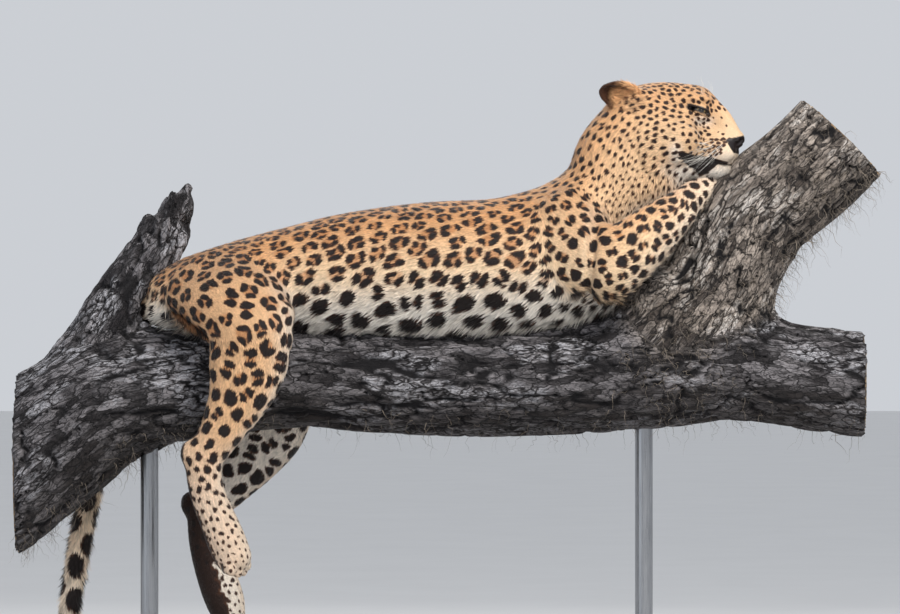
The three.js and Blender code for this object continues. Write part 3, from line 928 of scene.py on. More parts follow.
# %% [markdown]
# ## Where everything is
# Hair, spots and colours all depend on the place on the body. Each point of the skin therefore learns which
# part it belongs to, how far along that part it is, which way its hair lies, and how deep its colour is.

# %% Parts and the lie of the hair
PARTS = {"torso": (torso, -1), "neck": (neck, -1), "tail": (tail, 1)}
for side, leg in legs.items():
    for part in LEG_PARTS:
        PARTS[f"{part}_{side}"] = (leg[part], 1)
HEAD, EARS = len(PARTS), len(PARTS) + 1
PART_NAMES = [*PARTS, "head", "ears"]
TORSO, NECK, TAIL = 0, 1, 2
NOSE_TIP = mm(128, 0, -14)
FAR = 0.3
FLANK_DROOP = np.array([0, 0, -0.45])


def unit(vectors):
    return vectors / np.maximum(np.linalg.norm(vectors, axis=1, keepdims=True), 1e-9)


def along_skin(vectors, normals):
    """Vectors laid flat along the skin and made one long."""
    return unit(vectors - normals * (vectors * normals).sum(1, keepdims=True))


def is_named(part, *words):
    """Which points are on a part whose name holds one of the words."""
    return np.array([any(word in name for word in words) for name in PART_NAMES])[part]


def part_of(points):
    """The nearest part, the distance to each, and for the ears a name as if they were one more part."""
    distances = [tube(points) for tube, _ in PARTS.values()]
    close = lengths(points - HEAD_PLACE) < 0.22
    head = np.full(len(points), FAR)
    head[close] = head_form(points[close]) - 0.004
    ear = np.full(len(points), FAR)
    for name in SIDES:
        near = lengths(to_head(points) - ear_frame(name)[0]) < 0.06
        ear[near] = np.minimum(ear[near], np.abs(ear_form(points[near], name)) - 0.0009)
    distances[NECK] = np.minimum(distances[NECK], egg(points, *throat))
    distances = np.stack([*distances, head, np.where(ear < 0, -1, FAR)], 1)
    return distances.argmin(1), distances


def lie_of(points, normals, distances):
    """The way the hair lies: from the nose backwards, and down each leg and along the tail."""
    share = np.exp(-(distances - distances.min(1, keepdims=True)) / 0.010)
    lie = np.zeros_like(points)
    for k, (tube, sign) in enumerate(PARTS.values()):
        mine = share[:, k] > 0.02
        _, across, ahead = tube.locate(points[mine])
        flow = ahead * sign
        if k in (TORSO, NECK):
            flow = flow + np.abs(unit(across)[:, :1]) * FLANK_DROOP
        lie[mine] += flow * share[mine, k][:, None]
    v = to_head(points)
    lie += unit(v - NOSE_TIP) @ HEAD_AXES * share[:, HEAD][:, None]
    for name in SIDES:
        middle, axes = ear_frame(name)
        mine = (share[:, EARS] > 0.5) & (lengths(v - middle) < 0.06)
        lie[mine] = axes[2] @ HEAD_AXES
    return along_skin(lie, normals)


skin_points = points_of(skin_mesh)
skin_normals = rows_of(skin_mesh, "normal")
skin_part, skin_distances = part_of(skin_points)
skin_lie = lie_of(skin_points, skin_normals, skin_distances)
for k, name in enumerate(PART_NAMES):
    print(f"{name}: {int((skin_part == k).sum())} vertices")


# %% Depth of colour
def part_share(points, part):
    """How far along its own part each point is, from 0 to 1."""
    share = np.zeros(len(points))
    for k, (tube, _) in enumerate(PARTS.values()):
        mine = part == k
        if mine.any():
            share[mine] = tube.locate(points[mine])[0] / tube.length
    return share


def colour_depths(points, normals, part):
    """How warm and how pale the coat is at each point, from 0 to 1."""
    up, share = normals[:, 2], part_share(points, part)
    warm = ramp(up, -0.15, 0.85)
    pale = ramp(up, 0.05, -0.75)
    inside = np.zeros(len(points))
    legged = (part > TAIL) & (part < HEAD)
    inward = normals[:, 1] * np.where(is_named(part, "right"), 1, -1)
    inside[legged] = 0.8 * ramp(inward[legged], 0.0, 0.7)
    front = ramp(normals[:, 0], 0.25, 0.95)
    warm = np.where(legged, 0.62 * (1 - inside) * (1 - 0.7 * front), warm)
    low = 0.42 * is_named(part, "shank", "forearm") * ramp(share, 0.35, 0.8)
    pale = np.where(legged, np.maximum.reduce([inside, 0.55 * front, low]), pale)
    warm = np.where(is_named(part, "arm"), ramp(up, -0.3, 0.9) * 0.75, warm)
    v = to_head(points)
    head = part == HEAD
    chin = ramp(v[:, 2], -0.050, -0.080) * ramp(v[:, 0], -0.020, 0.030)
    chin = np.maximum(chin, 0.6 * ramp(v[:, 0], 0.07, 0.10) * ramp(v[:, 2], -0.020, -0.060))
    tuft = ramp(lengths((v[:, [0, 2]] - mm(23, -46)) / mm(8, 22)), 1.2, 0.6)
    under_eye = ramp(np.abs(v[:, 2] - 0.014), 0.010, 0.003) * ramp(np.abs(v[:, 0] - 0.066), 0.020, 0.008)
    warm = np.where(head, 0.35 + 0.45 * ramp(v[:, 2], -0.02, 0.07) - 0.3 * ramp(v[:, 0], 0.08, 0.12), warm)
    pale = np.where(head, np.maximum.reduce([chin, tuft, 0.7 * under_eye]), pale)
    throat_pale = ramp(normals[:, 0] - normals[:, 2], 0.5, 1.4)
    pale = np.where(part == NECK, throat_pale, pale)
    warm = np.where(part == NECK, 0.35 + 0.5 * ramp(normals[:, 2] - normals[:, 0], -0.3, 1.2), warm)
    tail_end = (part == TAIL) * ramp(share, 0.25, 0.9)
    warm = np.where(part == TAIL, warm * (1 - 0.8 * tail_end), warm)
    pale = np.where(part == TAIL, np.maximum(pale, 0.6 * tail_end), pale)
    # Painted light: the inside of each ear is painted warm tan, as light shining through the ear.
    warm = np.where(part == EARS, 0.9, warm)
    for name, s in SIDES.items():
        middle, axes = ear_frame(name)
        _, across, along = ((v - middle) @ axes.T / MM).T
        mine = (part == EARS) & (v[:, 1] * s > 0)
        back = normals @ HEAD_AXES.T @ axes[0] < 0
        pale[mine] = (back * ramp(np.hypot(across, along - 12), 14, 6))[mine] * 0.75
    return warm, pale, share


def bare_depth(points, part):
    """Dark bare skin: the nose, the lips, the rims of the eyes with painted shade round them, and the pads of
    the toes.
    """
    v = to_head(points)
    x, y, z = v.T
    head = part == HEAD
    nose = np.minimum.reduce([-0.0190 + 0.25 * (x - 0.105) - z, z + 0.020 + 1.64 * (x - 0.105), z + 0.044])
    dark = ramp(nose, -0.0008, 0.0008) * (x > 0.104)
    seam = np.maximum(np.abs(y) - 0.0012, np.maximum(0.110 - x, z + 0.040))
    dark = np.maximum(dark, ramp(seam, 0.0012, 0.0))
    mouth = np.maximum(np.abs(z - mouth_height(x)), np.maximum(0.026 - x, x - 0.120))
    dark = np.maximum(dark, ramp(mouth - np.interp(x, mm(88, 104), mm(0, -1.3)), 0.0030, 0.0016))
    # The rims of the eyes: black lid skin, widened by painted shade round the nearly shut eyes.
    for s in SIDES.values():
        dark = np.maximum(dark, ramp(slit(v, s), 0.0064, 0.0040))
    dark = np.where(head, dark, 0)
    for leg in legs.values():
        hind, fore = pads(leg["shank"], leg["hind_spread"], -1), pads(leg["forearm"], leg["fore_spread"], 1)
        for place, radius in (*hind, *fore):
            away = lengths(points - place) - radius
            dark = np.maximum(dark, 0.8 * ramp(away, 0.0005, -0.0010))
    return dark


def smoothed(values, rounds):
    """Spreads values along the skin's edges, which hides the borders between the parts."""
    for _ in range(rounds):
        values = relax(values, skin_edges, 0.6)
    return values


skin_edges = edges_of(skin_mesh)
skin_warm, skin_pale, skin_share = colour_depths(skin_points, skin_normals, skin_part)
skin_warm, skin_pale = smoothed(np.stack([skin_warm, skin_pale], 1), 16).T
skin_lie = along_skin(smoothed(skin_lie, 8), skin_normals)
skin_bare = bare_depth(skin_points, skin_part)
print(f"warm {skin_warm.mean():.2f}, pale {skin_pale.mean():.2f}, bare {skin_bare.mean():.3f} on average")

# %% [markdown]
# ## Spots
# A leopard's rosette is a ring of two to four dark blotches round a patch of deeper tan. They shrink towards
# the back, the face and the feet, and become single solid spots on the legs and belly. Their places are
# drawn at random, kept apart and then evened out, which packs them as closely as the real ones. Each owns a
# cell of the skin, and its blotches stop short of the cell's edge, so the ground shows as a pale net.

# %% Spacing and size of the spots
SPOTS = {
    # part: (what it varies with, stops, spacing in millimetres, length over width, share filled, blotches)
    "torso": (
        "up",
        (-1, -0.6, -0.2, 0.2, 0.6, 0.95),
        (47, 41, 33, 29, 26, 23),
        (1.15, 1.15, 1.3, 1.5, 1.55, 1.5),
        (0.84, 0.88, 1.0, 1.06, 1.06, 0.98),
        (1, 1.1, 2.4, 3.2, 3.2, 2.4),
    ),
    "neck": (
        "front",
        (-1, -0.4, 0.1, 1),
        (19, 13, 8.6, 10),
        (1.3, 1.4, 1.6, 1.6),
        (0.74, 0.68, 0.60, 0.54),
        (1.3, 1, 1, 1),
    ),
    "tail": (
        "share",
        (0, 0.3, 0.7, 1),
        (26, 29, 32, 32),
        (1.2, 1.6, 1.7, 1.5),
        (0.9, 1.1, 1.2, 1.3),
        (1.5, 1, 1, 1),
    ),
    "thigh": ("share", (0, 1), (30, 35), (1.35, 1.15), (1.04, 1.0), (3.0, 2.6)),
    "shank": (
        "share",
        (0, 0.35, 0.52, 0.7, 0.85, 1),
        (34, 30, 23, 17, 13, 11),
        (1.15, 1.2, 1.2, 1.15, 1.2, 1.2),
        (1.0, 0.94, 0.84, 0.70, 0.60, 0.56),
        (1.9, 1.4, 1, 1, 1, 1),
    ),
    "upper_arm": ("share", (0, 1), (23, 28), (1.2, 1.05), (0.98, 0.96), (2.2, 1.6)),
    "forearm": (
        "share",
        (0, 0.5, 0.8, 1),
        (29, 27, 20, 12),
        (0.95, 0.9, 1.0, 1.2),
        (0.96, 0.94, 0.80, 0.6),
        (1.6, 1.3, 1, 1),
    ),
    "head": ("top", (-1, 0, 1), (13, 11, 11.5), (1.3, 1.25, 1.2), (0.64, 0.74, 0.82), (1, 1, 1.2)),
}


TORSO_PLACES = mm(-430, -300, -150, 120, 230, 290)
TORSO_SCALES = (0.74, 0.84, 1, 1, 0.76, 0.60)


def spot_plan(points, normals, part, share):
    """Spacing, length over width, share filled and number of blotches of the spots at each point."""
    v = to_head(points)
    axes = {
        "up": normals[:, 2],
        "front": normals[:, 0] - 0.5 * normals[:, 2],
        "share": share,
        "top": np.clip(v[:, 2] / 0.055, -1, 1),
    }
    plan = np.tile([1.0, 1.0, 0.5, 1.0], (len(points), 1))
    for k, name in enumerate(PART_NAMES[:-1]):
        mine = part == k
        axis, stops, *rows = SPOTS[name.removesuffix("_right").removesuffix("_left")]
        plan[mine] = np.stack([np.interp(axes[axis][mine], stops, row) for row in rows], 1)
    torso_scale = np.interp(points[:, 0], TORSO_PLACES, TORSO_SCALES)
    plan[part == TORSO, 0] *= torso_scale[part == TORSO]
    plan[:, 0] *= MM
    return plan


def cell_half(spacing, aspect):
    """Half the length, width and depth of a spot's own cell."""
    return np.array([aspect, 1, 0.8]) * spacing / 2


def tree_of(points):
    tree = KDTree(len(points))
    for k, p in enumerate(points):
        tree.insert(p, k)
    tree.balance()
    return tree


skin_tree = tree_of(skin_points)
skin_axes = np.stack([skin_lie, np.cross(skin_normals, skin_lie), skin_normals], 1)
APART, REACH, HELD = 1.68, 1.9, 1.6  # in half cells: least distance, furthest vertex looked at, and owned


def spread(plan, wanted):
    """Picks vertices at random that keep their own spacing from each other."""
    free = wanted.copy()
    chosen = []
    for k in rng.permutation(np.flatnonzero(wanted)):
        if free[k]:
            chosen.append(k)
            half = cell_half(*plan[k, :2])
            found = np.array([other for _, other, _ in skin_tree.find_range(skin_points[k], half[0] * APART)])
            ratio = lengths((skin_points[found] - skin_points[k]) @ skin_axes[k].T / half)
            free[found[ratio < APART]] = False
    return chosen


def claim(tree, points, cells):
    """For each point the cell it lies in, how far it is from that cell's middle, and from the next one's."""
    owner = np.full(len(points), -1)
    first, second = np.full(len(points), 9.0), np.full(len(points), 9.0)
    for k, (place, axes, half) in enumerate(cells):
        found = np.array([other for _, other, _ in tree.find_range(place, half[0] * REACH)], int)
        ratio = lengths((points[found] - place) @ axes.T / half)
        closer = ratio < first[found]
        second[found] = np.where(closer, first[found], np.minimum(second[found], ratio))
        first[found] = np.where(closer, ratio, first[found])
        owner[found[closer]] = k
    return owner, first, second


def cells_of(chosen):
    return [(skin_points[k], skin_axes[k], cell_half(*plan[k, :2])) for k in chosen]


plan = spot_plan(skin_points, skin_normals, skin_part, skin_share)
skin_on_head = to_head(skin_points)
muzzle_front = (skin_part == HEAD) & (skin_on_head[:, 0] > 0.078) & (skin_on_head[:, 2] < 0.030)
spotted = (skin_part < EARS) & ~muzzle_front & (skin_bare < 0.2)
centres = spread(plan, spotted)
for _ in range(2):
    owner, first, _ = claim(skin_tree, skin_points, cells_of(centres))
    held = spotted & (owner >= 0) & (first < HELD)
    counts = np.maximum(np.bincount(owner[held], minlength=len(centres)), 1)
    sums = [np.bincount(owner[held], skin_points[held, k], len(centres)) for k in range(3)]
    centres = sorted({skin_tree.find(middle)[1] for middle in np.stack(sums, 1) / counts[:, None]})
    centres = [k for k in centres if spotted[k]]
print(len(centres), "spots and rosettes")


# %% Blotches of each spot
ROUND_AND_THROUGH = {2: (0.78, 0.50), 3: (0.62, 0.42), 4: (0.47, 0.36)}  # a blotch's size, by their number


def blotches_of(half, fill, count):
    """Ovals of (along, across, turn, half length, half width), and the radius of a tan centre."""
    long, wide = half[:2] * fill * rng.uniform(0.84, 1.12) * rng.uniform(0.84, 1.16, 2)
    if count < 2:
        ovals = [(0, 0, rng.normal(0, 0.25), long * 0.86, wide * 0.86)]
        if rng.random() < 0.75:
            push = rng.choice((-1, 1), 2) * rng.uniform(0.25, 0.6, 2)
            ovals.append((push[0] * long, push[1] * wide, rng.uniform(0, 3), long * 0.55, wide * 0.55))
        return ovals, 0
    size = math.sqrt(long * wide)
    around, through = ROUND_AND_THROUGH[count]
    start = rng.uniform(0, 2 * math.pi)
    ovals = []
    for j in range(count):
        angle = start + 2 * math.pi * (j + rng.uniform(-0.15, 0.15)) / count
        out = 1 - through * 0.9
        place = (math.cos(angle) * long * out, math.sin(angle) * wide * out)
        turn = math.atan2(wide * math.cos(angle), -long * math.sin(angle))
        fit = rng.uniform(0.80, 1.18)
        ovals.append((*place, turn, size * around * fit, size * through * rng.uniform(0.85, 1.1)))
    return ovals, 0.62 * wide if count > 2 else 0.4 * wide


spots = []
for cell, (_, _, fill, count) in zip(cells_of(centres), plan[centres]):
    count = min(int(count + rng.random()), 4)
    spots.append((*cell, *blotches_of(cell[2], fill, count)))
print(sum(len(spot[3]) for spot in spots), "blotches")

# %% Rows of whisker spots
WHISKER_ROWS = 5
FACE_MARKS = (
    # x and height in the head's frame, half length and half width, in millimetres
    (99, -9, 3.4, 2.4),
    (90, -5, 2.4, 1.8),
    (55, 8, 6.0, 4.2),
    (66, 3, 2.6, 2.0),
    (84, 8, 2.4, 1.7),
    (95, 20, 2.8, 2.0),
    (88, 32, 3.4, 2.2),
    (104, 6, 2.6, 1.9),
    (84, 20, 2.6, 1.9),
    # The last two are painted shadow just under the ear.
    (-78, 28, 7.0, 5.0),
    (-92, 36, 6.0, 4.5),
)
DASH = mm(10.0, 8.4, 8.4)
DASH_OVAL = (0, 0, 0, 0.0050, 0.0034)
ROW_APART, DASH_APART = 8.4, 9.8


def on_side(x, z, s):
    """The vertex of the skin at an x and a height of the head's frame, on one side of the face."""
    y = s * 42
    for _ in range(5):
        k = skin_tree.find(from_head(mm(x, y, z)))[1]
        y = to_head(skin_points[k : k + 1])[0, 1] / MM
    return k


whisker_roots = []
for s in SIDES.values():
    for row in range(WHISKER_ROWS):
        for x in np.arange(62 + 1.5 * row, 114 - 3 * row, DASH_APART):
            z = -18 - ROW_APART * row + 0.06 * (x - 63) * row
            k = on_side(x + rng.uniform(-1, 1), z + rng.uniform(-0.6, 0.6), s)
            spots.append((skin_points[k], skin_axes[k], DASH / 2, [DASH_OVAL], 0))
            whisker_roots.append((skin_points[k], skin_normals[k], ramp(x, 66, 104), s, row))
    for x, z, long, wide in FACE_MARKS:
        k = on_side(x, z, s)
        oval = (0, 0, 0, long * MM, wide * MM)
        spots.append((skin_points[k], skin_axes[k], mm(2.5 * long, 2.5 * wide, 12), [oval], 0))
print(len(whisker_roots), "whisker spots")


# %% Reading the spots at any point
CLEAR = 4.0


def ear_marks(points, normals, mark):
    """The back of an ear is black with one pale patch, and its tip is dark brown."""
    v = to_head(points)
    for name, s in SIDES.items():
        middle, axes = ear_frame(name)
        mine = v[:, 1] * s > 0
        _, across, along = ((v[mine] - middle) @ axes.T / MM).T
        back = ramp(normals[mine] @ HEAD_AXES.T @ axes[0], 0.0, -0.5) * 6 - 3
        patch = 9.5 - np.hypot(across, (along - 12) * 1.25) + 3.5 * lumps(points[mine], 0.006)
        tip = (along - 17 + 0.02 * across**2) * 0.055
        mark[mine] = -np.maximum(np.minimum(back, -patch), tip) * MM
    return mark


def dark_marks_and_shade(points, normals, part):
    """The dark corners of the mouth, black lip with painted shade in it, painted shade at the roots of the
    ears, and painted shade on the backs of the hind feet from the heel down.
    """
    x, y, z = to_head(points).T
    # The corners of the mouth: black lip skin, with painted shade in the corner spread over a wider patch.
    upper = np.interp(x, mm(28, 60, 91, 112), mm(-41, -47, -54, -60))
    lower = np.interp(x, mm(28, 40, 58, 73, 93, 112), mm(-50, -67, -80, -79, -63, -63))
    mark = -np.minimum.reduce([upper - z, z - lower, x - 0.027, 0.108 - x, np.abs(y) - 0.012])
    mark = np.where(part == HEAD, np.clip(mark * 1.4, -CLEAR * MM, CLEAR * MM), CLEAR * MM)
    # Painted shade: a brownish patch at the root of each ear.
    ear_root_shade = ramp(np.hypot((x + 0.046) / 0.026, (z - 0.046) / 0.022), 1.2, 0.5) * (np.abs(y) > 0.030)
    mark = np.minimum(mark, (CLEAR - ear_root_shade * (3.5 - 0.5 * lumps(points, 0.004))) * MM)
    share = part_share(points, part)
    # Painted shade on the back and inner side of each lower hind leg, from the heel down.
    for name, s in SIDES.items():
        mine = part == PART_NAMES.index(f"shank_{name}")
        toward_shade = normals[mine] @ np.array([-0.85, -0.5 * s, 0]) + 0.22 * lumps(points[mine], 0.007)
        rear = ramp(toward_shade, 0.20, 0.60)
        mark[mine] = (0.45 - rear * ramp(share[mine], 0.44, 0.52)) * 3.5 * MM
    return mark


def waves(points, keys, size):
    """Three fields of lumps at once, to push points about with."""
    return np.stack([lumps(points + 3.1 * k, size) for k in keys], 1)


def read_spots(points, normals, part):
    """Distance to the edge of the nearest blotch, negative inside, and how deep in a rosette a point is."""
    warp = waves(points, (1, 2, 3), 0.011) * 0.0022
    fine = np.isin(part, (NECK, HEAD))[:, None]
    warp *= np.where(fine, 0.5, 1)
    warp += waves(points, (4, 5, 6), 0.0050) * 0.0013
    warped = points + warp
    owner, first, second = claim(tree_of(warped), warped, [spot[:3] for spot in spots])
    mark, core = np.full(len(points), CLEAR * MM), np.zeros(len(points))
    order = np.argsort(owner, kind="stable")
    starts = np.searchsorted(owner[order], np.arange(len(spots) + 1))
    for (place, axes, half, ovals, heart), low, high in zip(spots, starts, starts[1:]):
        mine = order[low:high]
        if not len(mine):
            continue
        v = (warped[mine] - place) @ axes.T
        flat = np.linalg.norm(v[:, :2], axis=1, keepdims=True) + 1e-9
        v = v[:, :2] * np.linalg.norm(v, axis=1, keepdims=True) / flat
        best = np.full(len(mine), CLEAR * MM)
        for x, y, turn, long, wide in ovals:
            cos, sin = math.cos(turn), math.sin(turn)
            local = (v - (x, y)) @ np.array([[cos, -sin], [sin, cos]])
            ratio = lengths(local / (long, wide)) + 1e-6
            distance = (ratio - 1) * np.minimum(lengths(local) / ratio, long)
            best = smooth_min(best, distance, 0.0018)
        border = (second[mine] - first[mine]) * half[1] * 0.55
        mark[mine] = -smooth_min(-best, border - 0.15 * half[1], 0.25 * half[1])
        if heart:
            core[mine] = ramp(lengths(v / (heart * half[0] / half[1], heart)), 1.7, 0.8)
    ears = part == EARS
    mark[ears] = ear_marks(points[ears], normals[ears], mark[ears])
    return np.minimum(mark, dark_marks_and_shade(warped, normals, part)), core


skin_mark, skin_core = read_spots(skin_points, skin_normals, skin_part)
print(f"{(skin_mark < 0).mean() * 100:.0f}% of the skin's vertices are in a spot")


# %% Attributes on the skin
def set_attributes(mesh, **values):
    for name, value in values.items():
        attribute = mesh.attributes.new(name, "FLOAT", "POINT")
        attribute.data.foreach_set("value", np.asarray(value, np.float32))


set_attributes(
    skin_mesh,
    mark=skin_mark / MM,
    core=skin_core,
    warm=skin_warm,
    pale=skin_pale,
    bare=skin_bare,
    tone=np.full(len(skin_points), 0.5),
    # The skin under the tufts takes part of the same painted shade as their roots.
    tip=np.full(len(skin_points), 0.35),
)

# %% [markdown]
# ## The coat
# Real fur is far too fine to model hair by hair. Here each tuft is one thin tapering blade of three
# triangles that stands for a few dozen hairs. It starts just under the skin, follows the lie of the hair and
# rises a little at its tip, so that the blades overlap like thatch. Face and feet have the smallest ones, and
# the belly, throat and ears the longest. Every blade takes the spots and colours of the place it grows from.

# %% Length, width, rise and number of the tufts
TUFT_COUNT = 480_000
DARK_ENOUGH = 0.4


def tuft_plan(points, normals, part, share):
    """Length and width in metres, rise as a share of the length, and number for one square millimetre."""
    up, front = normals[:, 2], normals[:, 0] - 0.5 * normals[:, 2]
    long = np.full(len(points), 8.0)
    rise = np.full(len(points), 0.16)
    many = np.full(len(points), 0.34)
    trunk = part == TORSO
    long[trunk] = np.interp(up[trunk], (-1, -0.7, -0.4, 0, 1), (30, 26, 17, 10.5, 8.5))
    rise[trunk] = np.interp(up[trunk], (-1, -0.6, 0.1, 1), (0.60, 0.34, 0.15, 0.15))
    collar = part == NECK
    long[collar] = np.interp(front[collar], (-1, 0, 1), (9, 8, 15))
    rise[collar] = np.interp(front[collar], (-1, 0, 1), (0.17, 0.15, 0.32))
    low_tail = part == TAIL
    long[low_tail] = np.interp(share[low_tail], (0, 0.3, 0.9, 1), (10, 16, 18, 22))
    rise[low_tail] = np.interp(share[low_tail], (0, 0.3, 1), (0.2, 0.46, 0.50))
    legged = (part > TAIL) & (part < HEAD)
    long[legged] = np.interp(share[legged], (0, 0.6, 0.85, 1), (9, 7, 5, 4))
    hanging = is_named(part, "thigh", "arm") * ramp(up, -0.45, -0.95)
    long += 13 * hanging
    rise += 0.30 * hanging
    many[legged] = np.interp(share[legged], (0, 0.6, 0.85, 1), (0.34, 0.36, 0.55, 0.70))
    v = to_head(points)
    head = part == HEAD
    cheek = ramp(v[:, 0], 0.030, -0.040) * ramp(v[:, 2], 0.020, -0.040)
    base = ramp(lengths(v[:, [0, 2]] - mm(-52, 48)), 0.030, 0.012) * (np.abs(v[:, 1]) > 0.03)
    chin = ramp(v[:, 2], -0.060, -0.080)
    muzzle = ramp(v[:, 0], 0.060, 0.100)
    long[head] = (5.0 + 7 * cheek + 5 * chin + 9 * base - 2.8 * muzzle * (1 - chin))[head]
    rise[head] = (0.16 + 0.18 * cheek + 0.14 * chin + 0.12 * base)[head]
    many[head] = (0.85 - 0.35 * cheek)[head]
    for s in SIDES.values():
        lid = ramp(np.abs(slit(v, s)), 0.014, 0.006) * head
        long, many = long * (1 - 0.55 * lid), many * (1 + 0.5 * lid)
    for name, s in SIDES.items():
        middle, axes = ear_frame(name)
        cup = ramp(normals @ HEAD_AXES.T @ axes[0], -0.1, 0.5) * ramp((v - middle) @ axes[2], 0.026, 0.008)
        mine = (part == EARS) & (v[:, 1] * s > 0)
        long[mine], rise[mine], many[mine] = (4 + 12 * cup)[mine], (0.2 + 0.25 * cup)[mine], 1.0
    width = 0.20 * long**0.85 + 0.15
    return long * MM, width * MM, rise, many


wanted = np.stack(tuft_plan(skin_points, skin_normals, skin_part, skin_share), 1)
bare_or_hidden = (skin_bare > DARK_ENOUGH) | (wood_form(skin_points) < -0.004)
wanted[bare_or_hidden, 3] = 0
skin_mesh.calc_loop_triangles()
triangles = np.empty(len(skin_mesh.loop_triangles) * 3, np.int32)
skin_mesh.loop_triangles.foreach_get("vertices", triangles)
triangles = triangles.reshape(-1, 3)
corners = skin_points[triangles]
areas = lengths(np.cross(corners[:, 1] - corners[:, 0], corners[:, 2] - corners[:, 0])) / 2
weights = np.cumsum(areas * wanted[triangles, 3].mean(1))
print(f"skin area {areas.sum():.2f} square metres, coat wants {weights[-1] * 1e6:.0f} tufts")

# %% Roots of the tufts
places = (np.arange(TUFT_COUNT) + rng.random(TUFT_COUNT)) / TUFT_COUNT * weights[-1]
home = np.minimum(np.searchsorted(weights, places), len(triangles) - 1)
u, v = rng.random((2, TUFT_COUNT))
flip = u + v > 1
u[flip], v[flip] = 1 - u[flip], 1 - v[flip]
shares = np.stack([1 - u - v, u, v], 1)


def at_roots(values):
    """A value of the skin at the root of each tuft."""
    picked = values[triangles[home]]
    return np.einsum("nk,nk...->n...", shares, picked)


root_points = at_roots(skin_points)
root_normals = unit(at_roots(skin_normals))
root_part = skin_part[triangles[home, 0]]
root_lie = along_skin(at_roots(skin_lie), root_normals)
root_plan = at_roots(wanted)
root_mark, root_core = read_spots(root_points, root_normals, root_part)
print(f"{(root_mark < 0).mean() * 100:.0f}% of the tufts are dark")

# %% Locks: tufts that stand near one another along the lie sway and shine alike
LOCK_STEPS = np.linspace(-1, 1, 5)
LOCK_LONG, LOCK_SIZE = 0.010, 0.0042
lock_size = np.clip(root_plan[:, :1] / 0.012, 0.5, 2.2)
lock_walk = root_lie * lock_size * LOCK_LONG
streak = sum(lumps((root_points + lock_walk * k) / lock_size, LOCK_SIZE) for k in LOCK_STEPS) * 0.45
sway = 0.34 * lumps(root_points, 0.022) + 0.16 * rng.standard_normal(TUFT_COUNT)
root_side = np.cross(root_normals, root_lie)
hair_way = root_lie * np.cos(sway)[:, None] + root_side * np.sin(sway)[:, None]
hair_side = np.cross(root_normals, hair_way)

# %% Blades
SINK = 0.0004
BEHIND, AHEAD, TIP_AHEAD = 0.42, 0.08, 0.58  # root, middle and tip along the hair, in lengths of the tuft
ROOT_HALF, MIDDLE_HALF, MIDDLE_RISE = 0.36, 0.5, 0.40
tuft_long = root_plan[:, :1] * rng.uniform(0.75, 1.2, (TUFT_COUNT, 1))
tuft_wide = root_plan[:, 1:2] * rng.uniform(0.75, 1.25, (TUFT_COUNT, 1))
tuft_rise = root_plan[:, 2:3] * rng.uniform(0.3, 1.5, (TUFT_COUNT, 1)) * (1 + 0.5 * streak[:, None])
start = root_points - hair_way * tuft_long * BEHIND - root_normals * SINK
middle = root_points + hair_way * tuft_long * AHEAD + root_normals * tuft_long * tuft_rise * MIDDLE_RISE
end = root_points + hair_way * tuft_long * TIP_AHEAD + root_normals * tuft_long * tuft_rise
root_edge, middle_edge = hair_side * tuft_wide * ROOT_HALF, hair_side * tuft_wide * MIDDLE_HALF
blade = np.stack([start - root_edge, start + root_edge, middle - middle_edge, middle + middle_edge, end], 1)
ROUNDNESS = 0.45
FORWARD = 0.15
lean = np.array([-1, 1, -1, 1, 0])[None, :, None] * ROUNDNESS
roll = 0.28 * rng.standard_normal(TUFT_COUNT) + 0.25 * streak
blade_normals = root_normals[:, None] + hair_side[:, None] * (lean + roll[:, None, None])
blade_normals = blade_normals - FORWARD * hair_way[:, None]
BLADE_FACES = np.array([(1, 0, 2), (1, 2, 3), (3, 2, 4)])
BLADE_TIP = np.array([0, 0, 0.5, 0.5, 1])
PATCH = 0.003
BLADE_UV = np.array([(-0.5, -0.5), (0.5, -0.5), (-0.5, 0), (0.5, 0), (0, 0.5)]) * PATCH
hair_tone = np.clip(0.5 + 0.20 * rng.standard_normal(TUFT_COUNT) + 0.42 * streak, 0, 1)


# %% An unwrap of the skin's own shape for the bake
def unwrapped(points, part):
    """Run along a part and turn round it, each from 0 to 1."""
    if part == HEAD:
        v = to_head(points)
        run, turn = v[:, 0], np.arctan2(v[:, 2], v[:, 1])
    elif part == EARS:
        v = to_head(points)
        near = [(v - ear_frame(name)[0]) @ ear_frame(name)[1].T for name in SIDES]
        mine = np.where(v[:, 1:2] < 0, *near)
        run, turn = mine[:, 2] + np.where(v[:, 1] < 0, 0, 0.1), np.arctan2(mine[:, 1], mine[:, 0])
    else:
        run, across, _ = list(PARTS.values())[part][0].locate(points)
        turn = np.arctan2(across[:, 1], across[:, 0])
    run = (run - run.min()) / max(run.max() - run.min(), 1e-6)
    return np.stack([run, (turn + math.pi) / (2 * math.pi)], 1) * (1 - 2 * PATCH) + PATCH


# %% Coat pieces
MOST_TUFTS = 65_000


def mesh_of_arrays(name, points, faces, normals=None):
    mesh = bpy.data.meshes.new(name)
    mesh.vertices.add(len(points))
    mesh.vertices.foreach_set("co", points.astype(np.float32).ravel())
    mesh.loops.add(faces.size)
    mesh.loops.foreach_set("vertex_index", faces.astype(np.int32).ravel())
    mesh.polygons.add(len(faces))
    mesh.polygons.foreach_set("loop_start", np.arange(0, faces.size, faces.shape[1], dtype=np.int32))
    mesh.update(calc_edges=True)
    mesh.shade_smooth()
    if normals is not None:
        mesh.normals_split_custom_set_from_vertices(unit(normals).astype(np.float32))
    return mesh


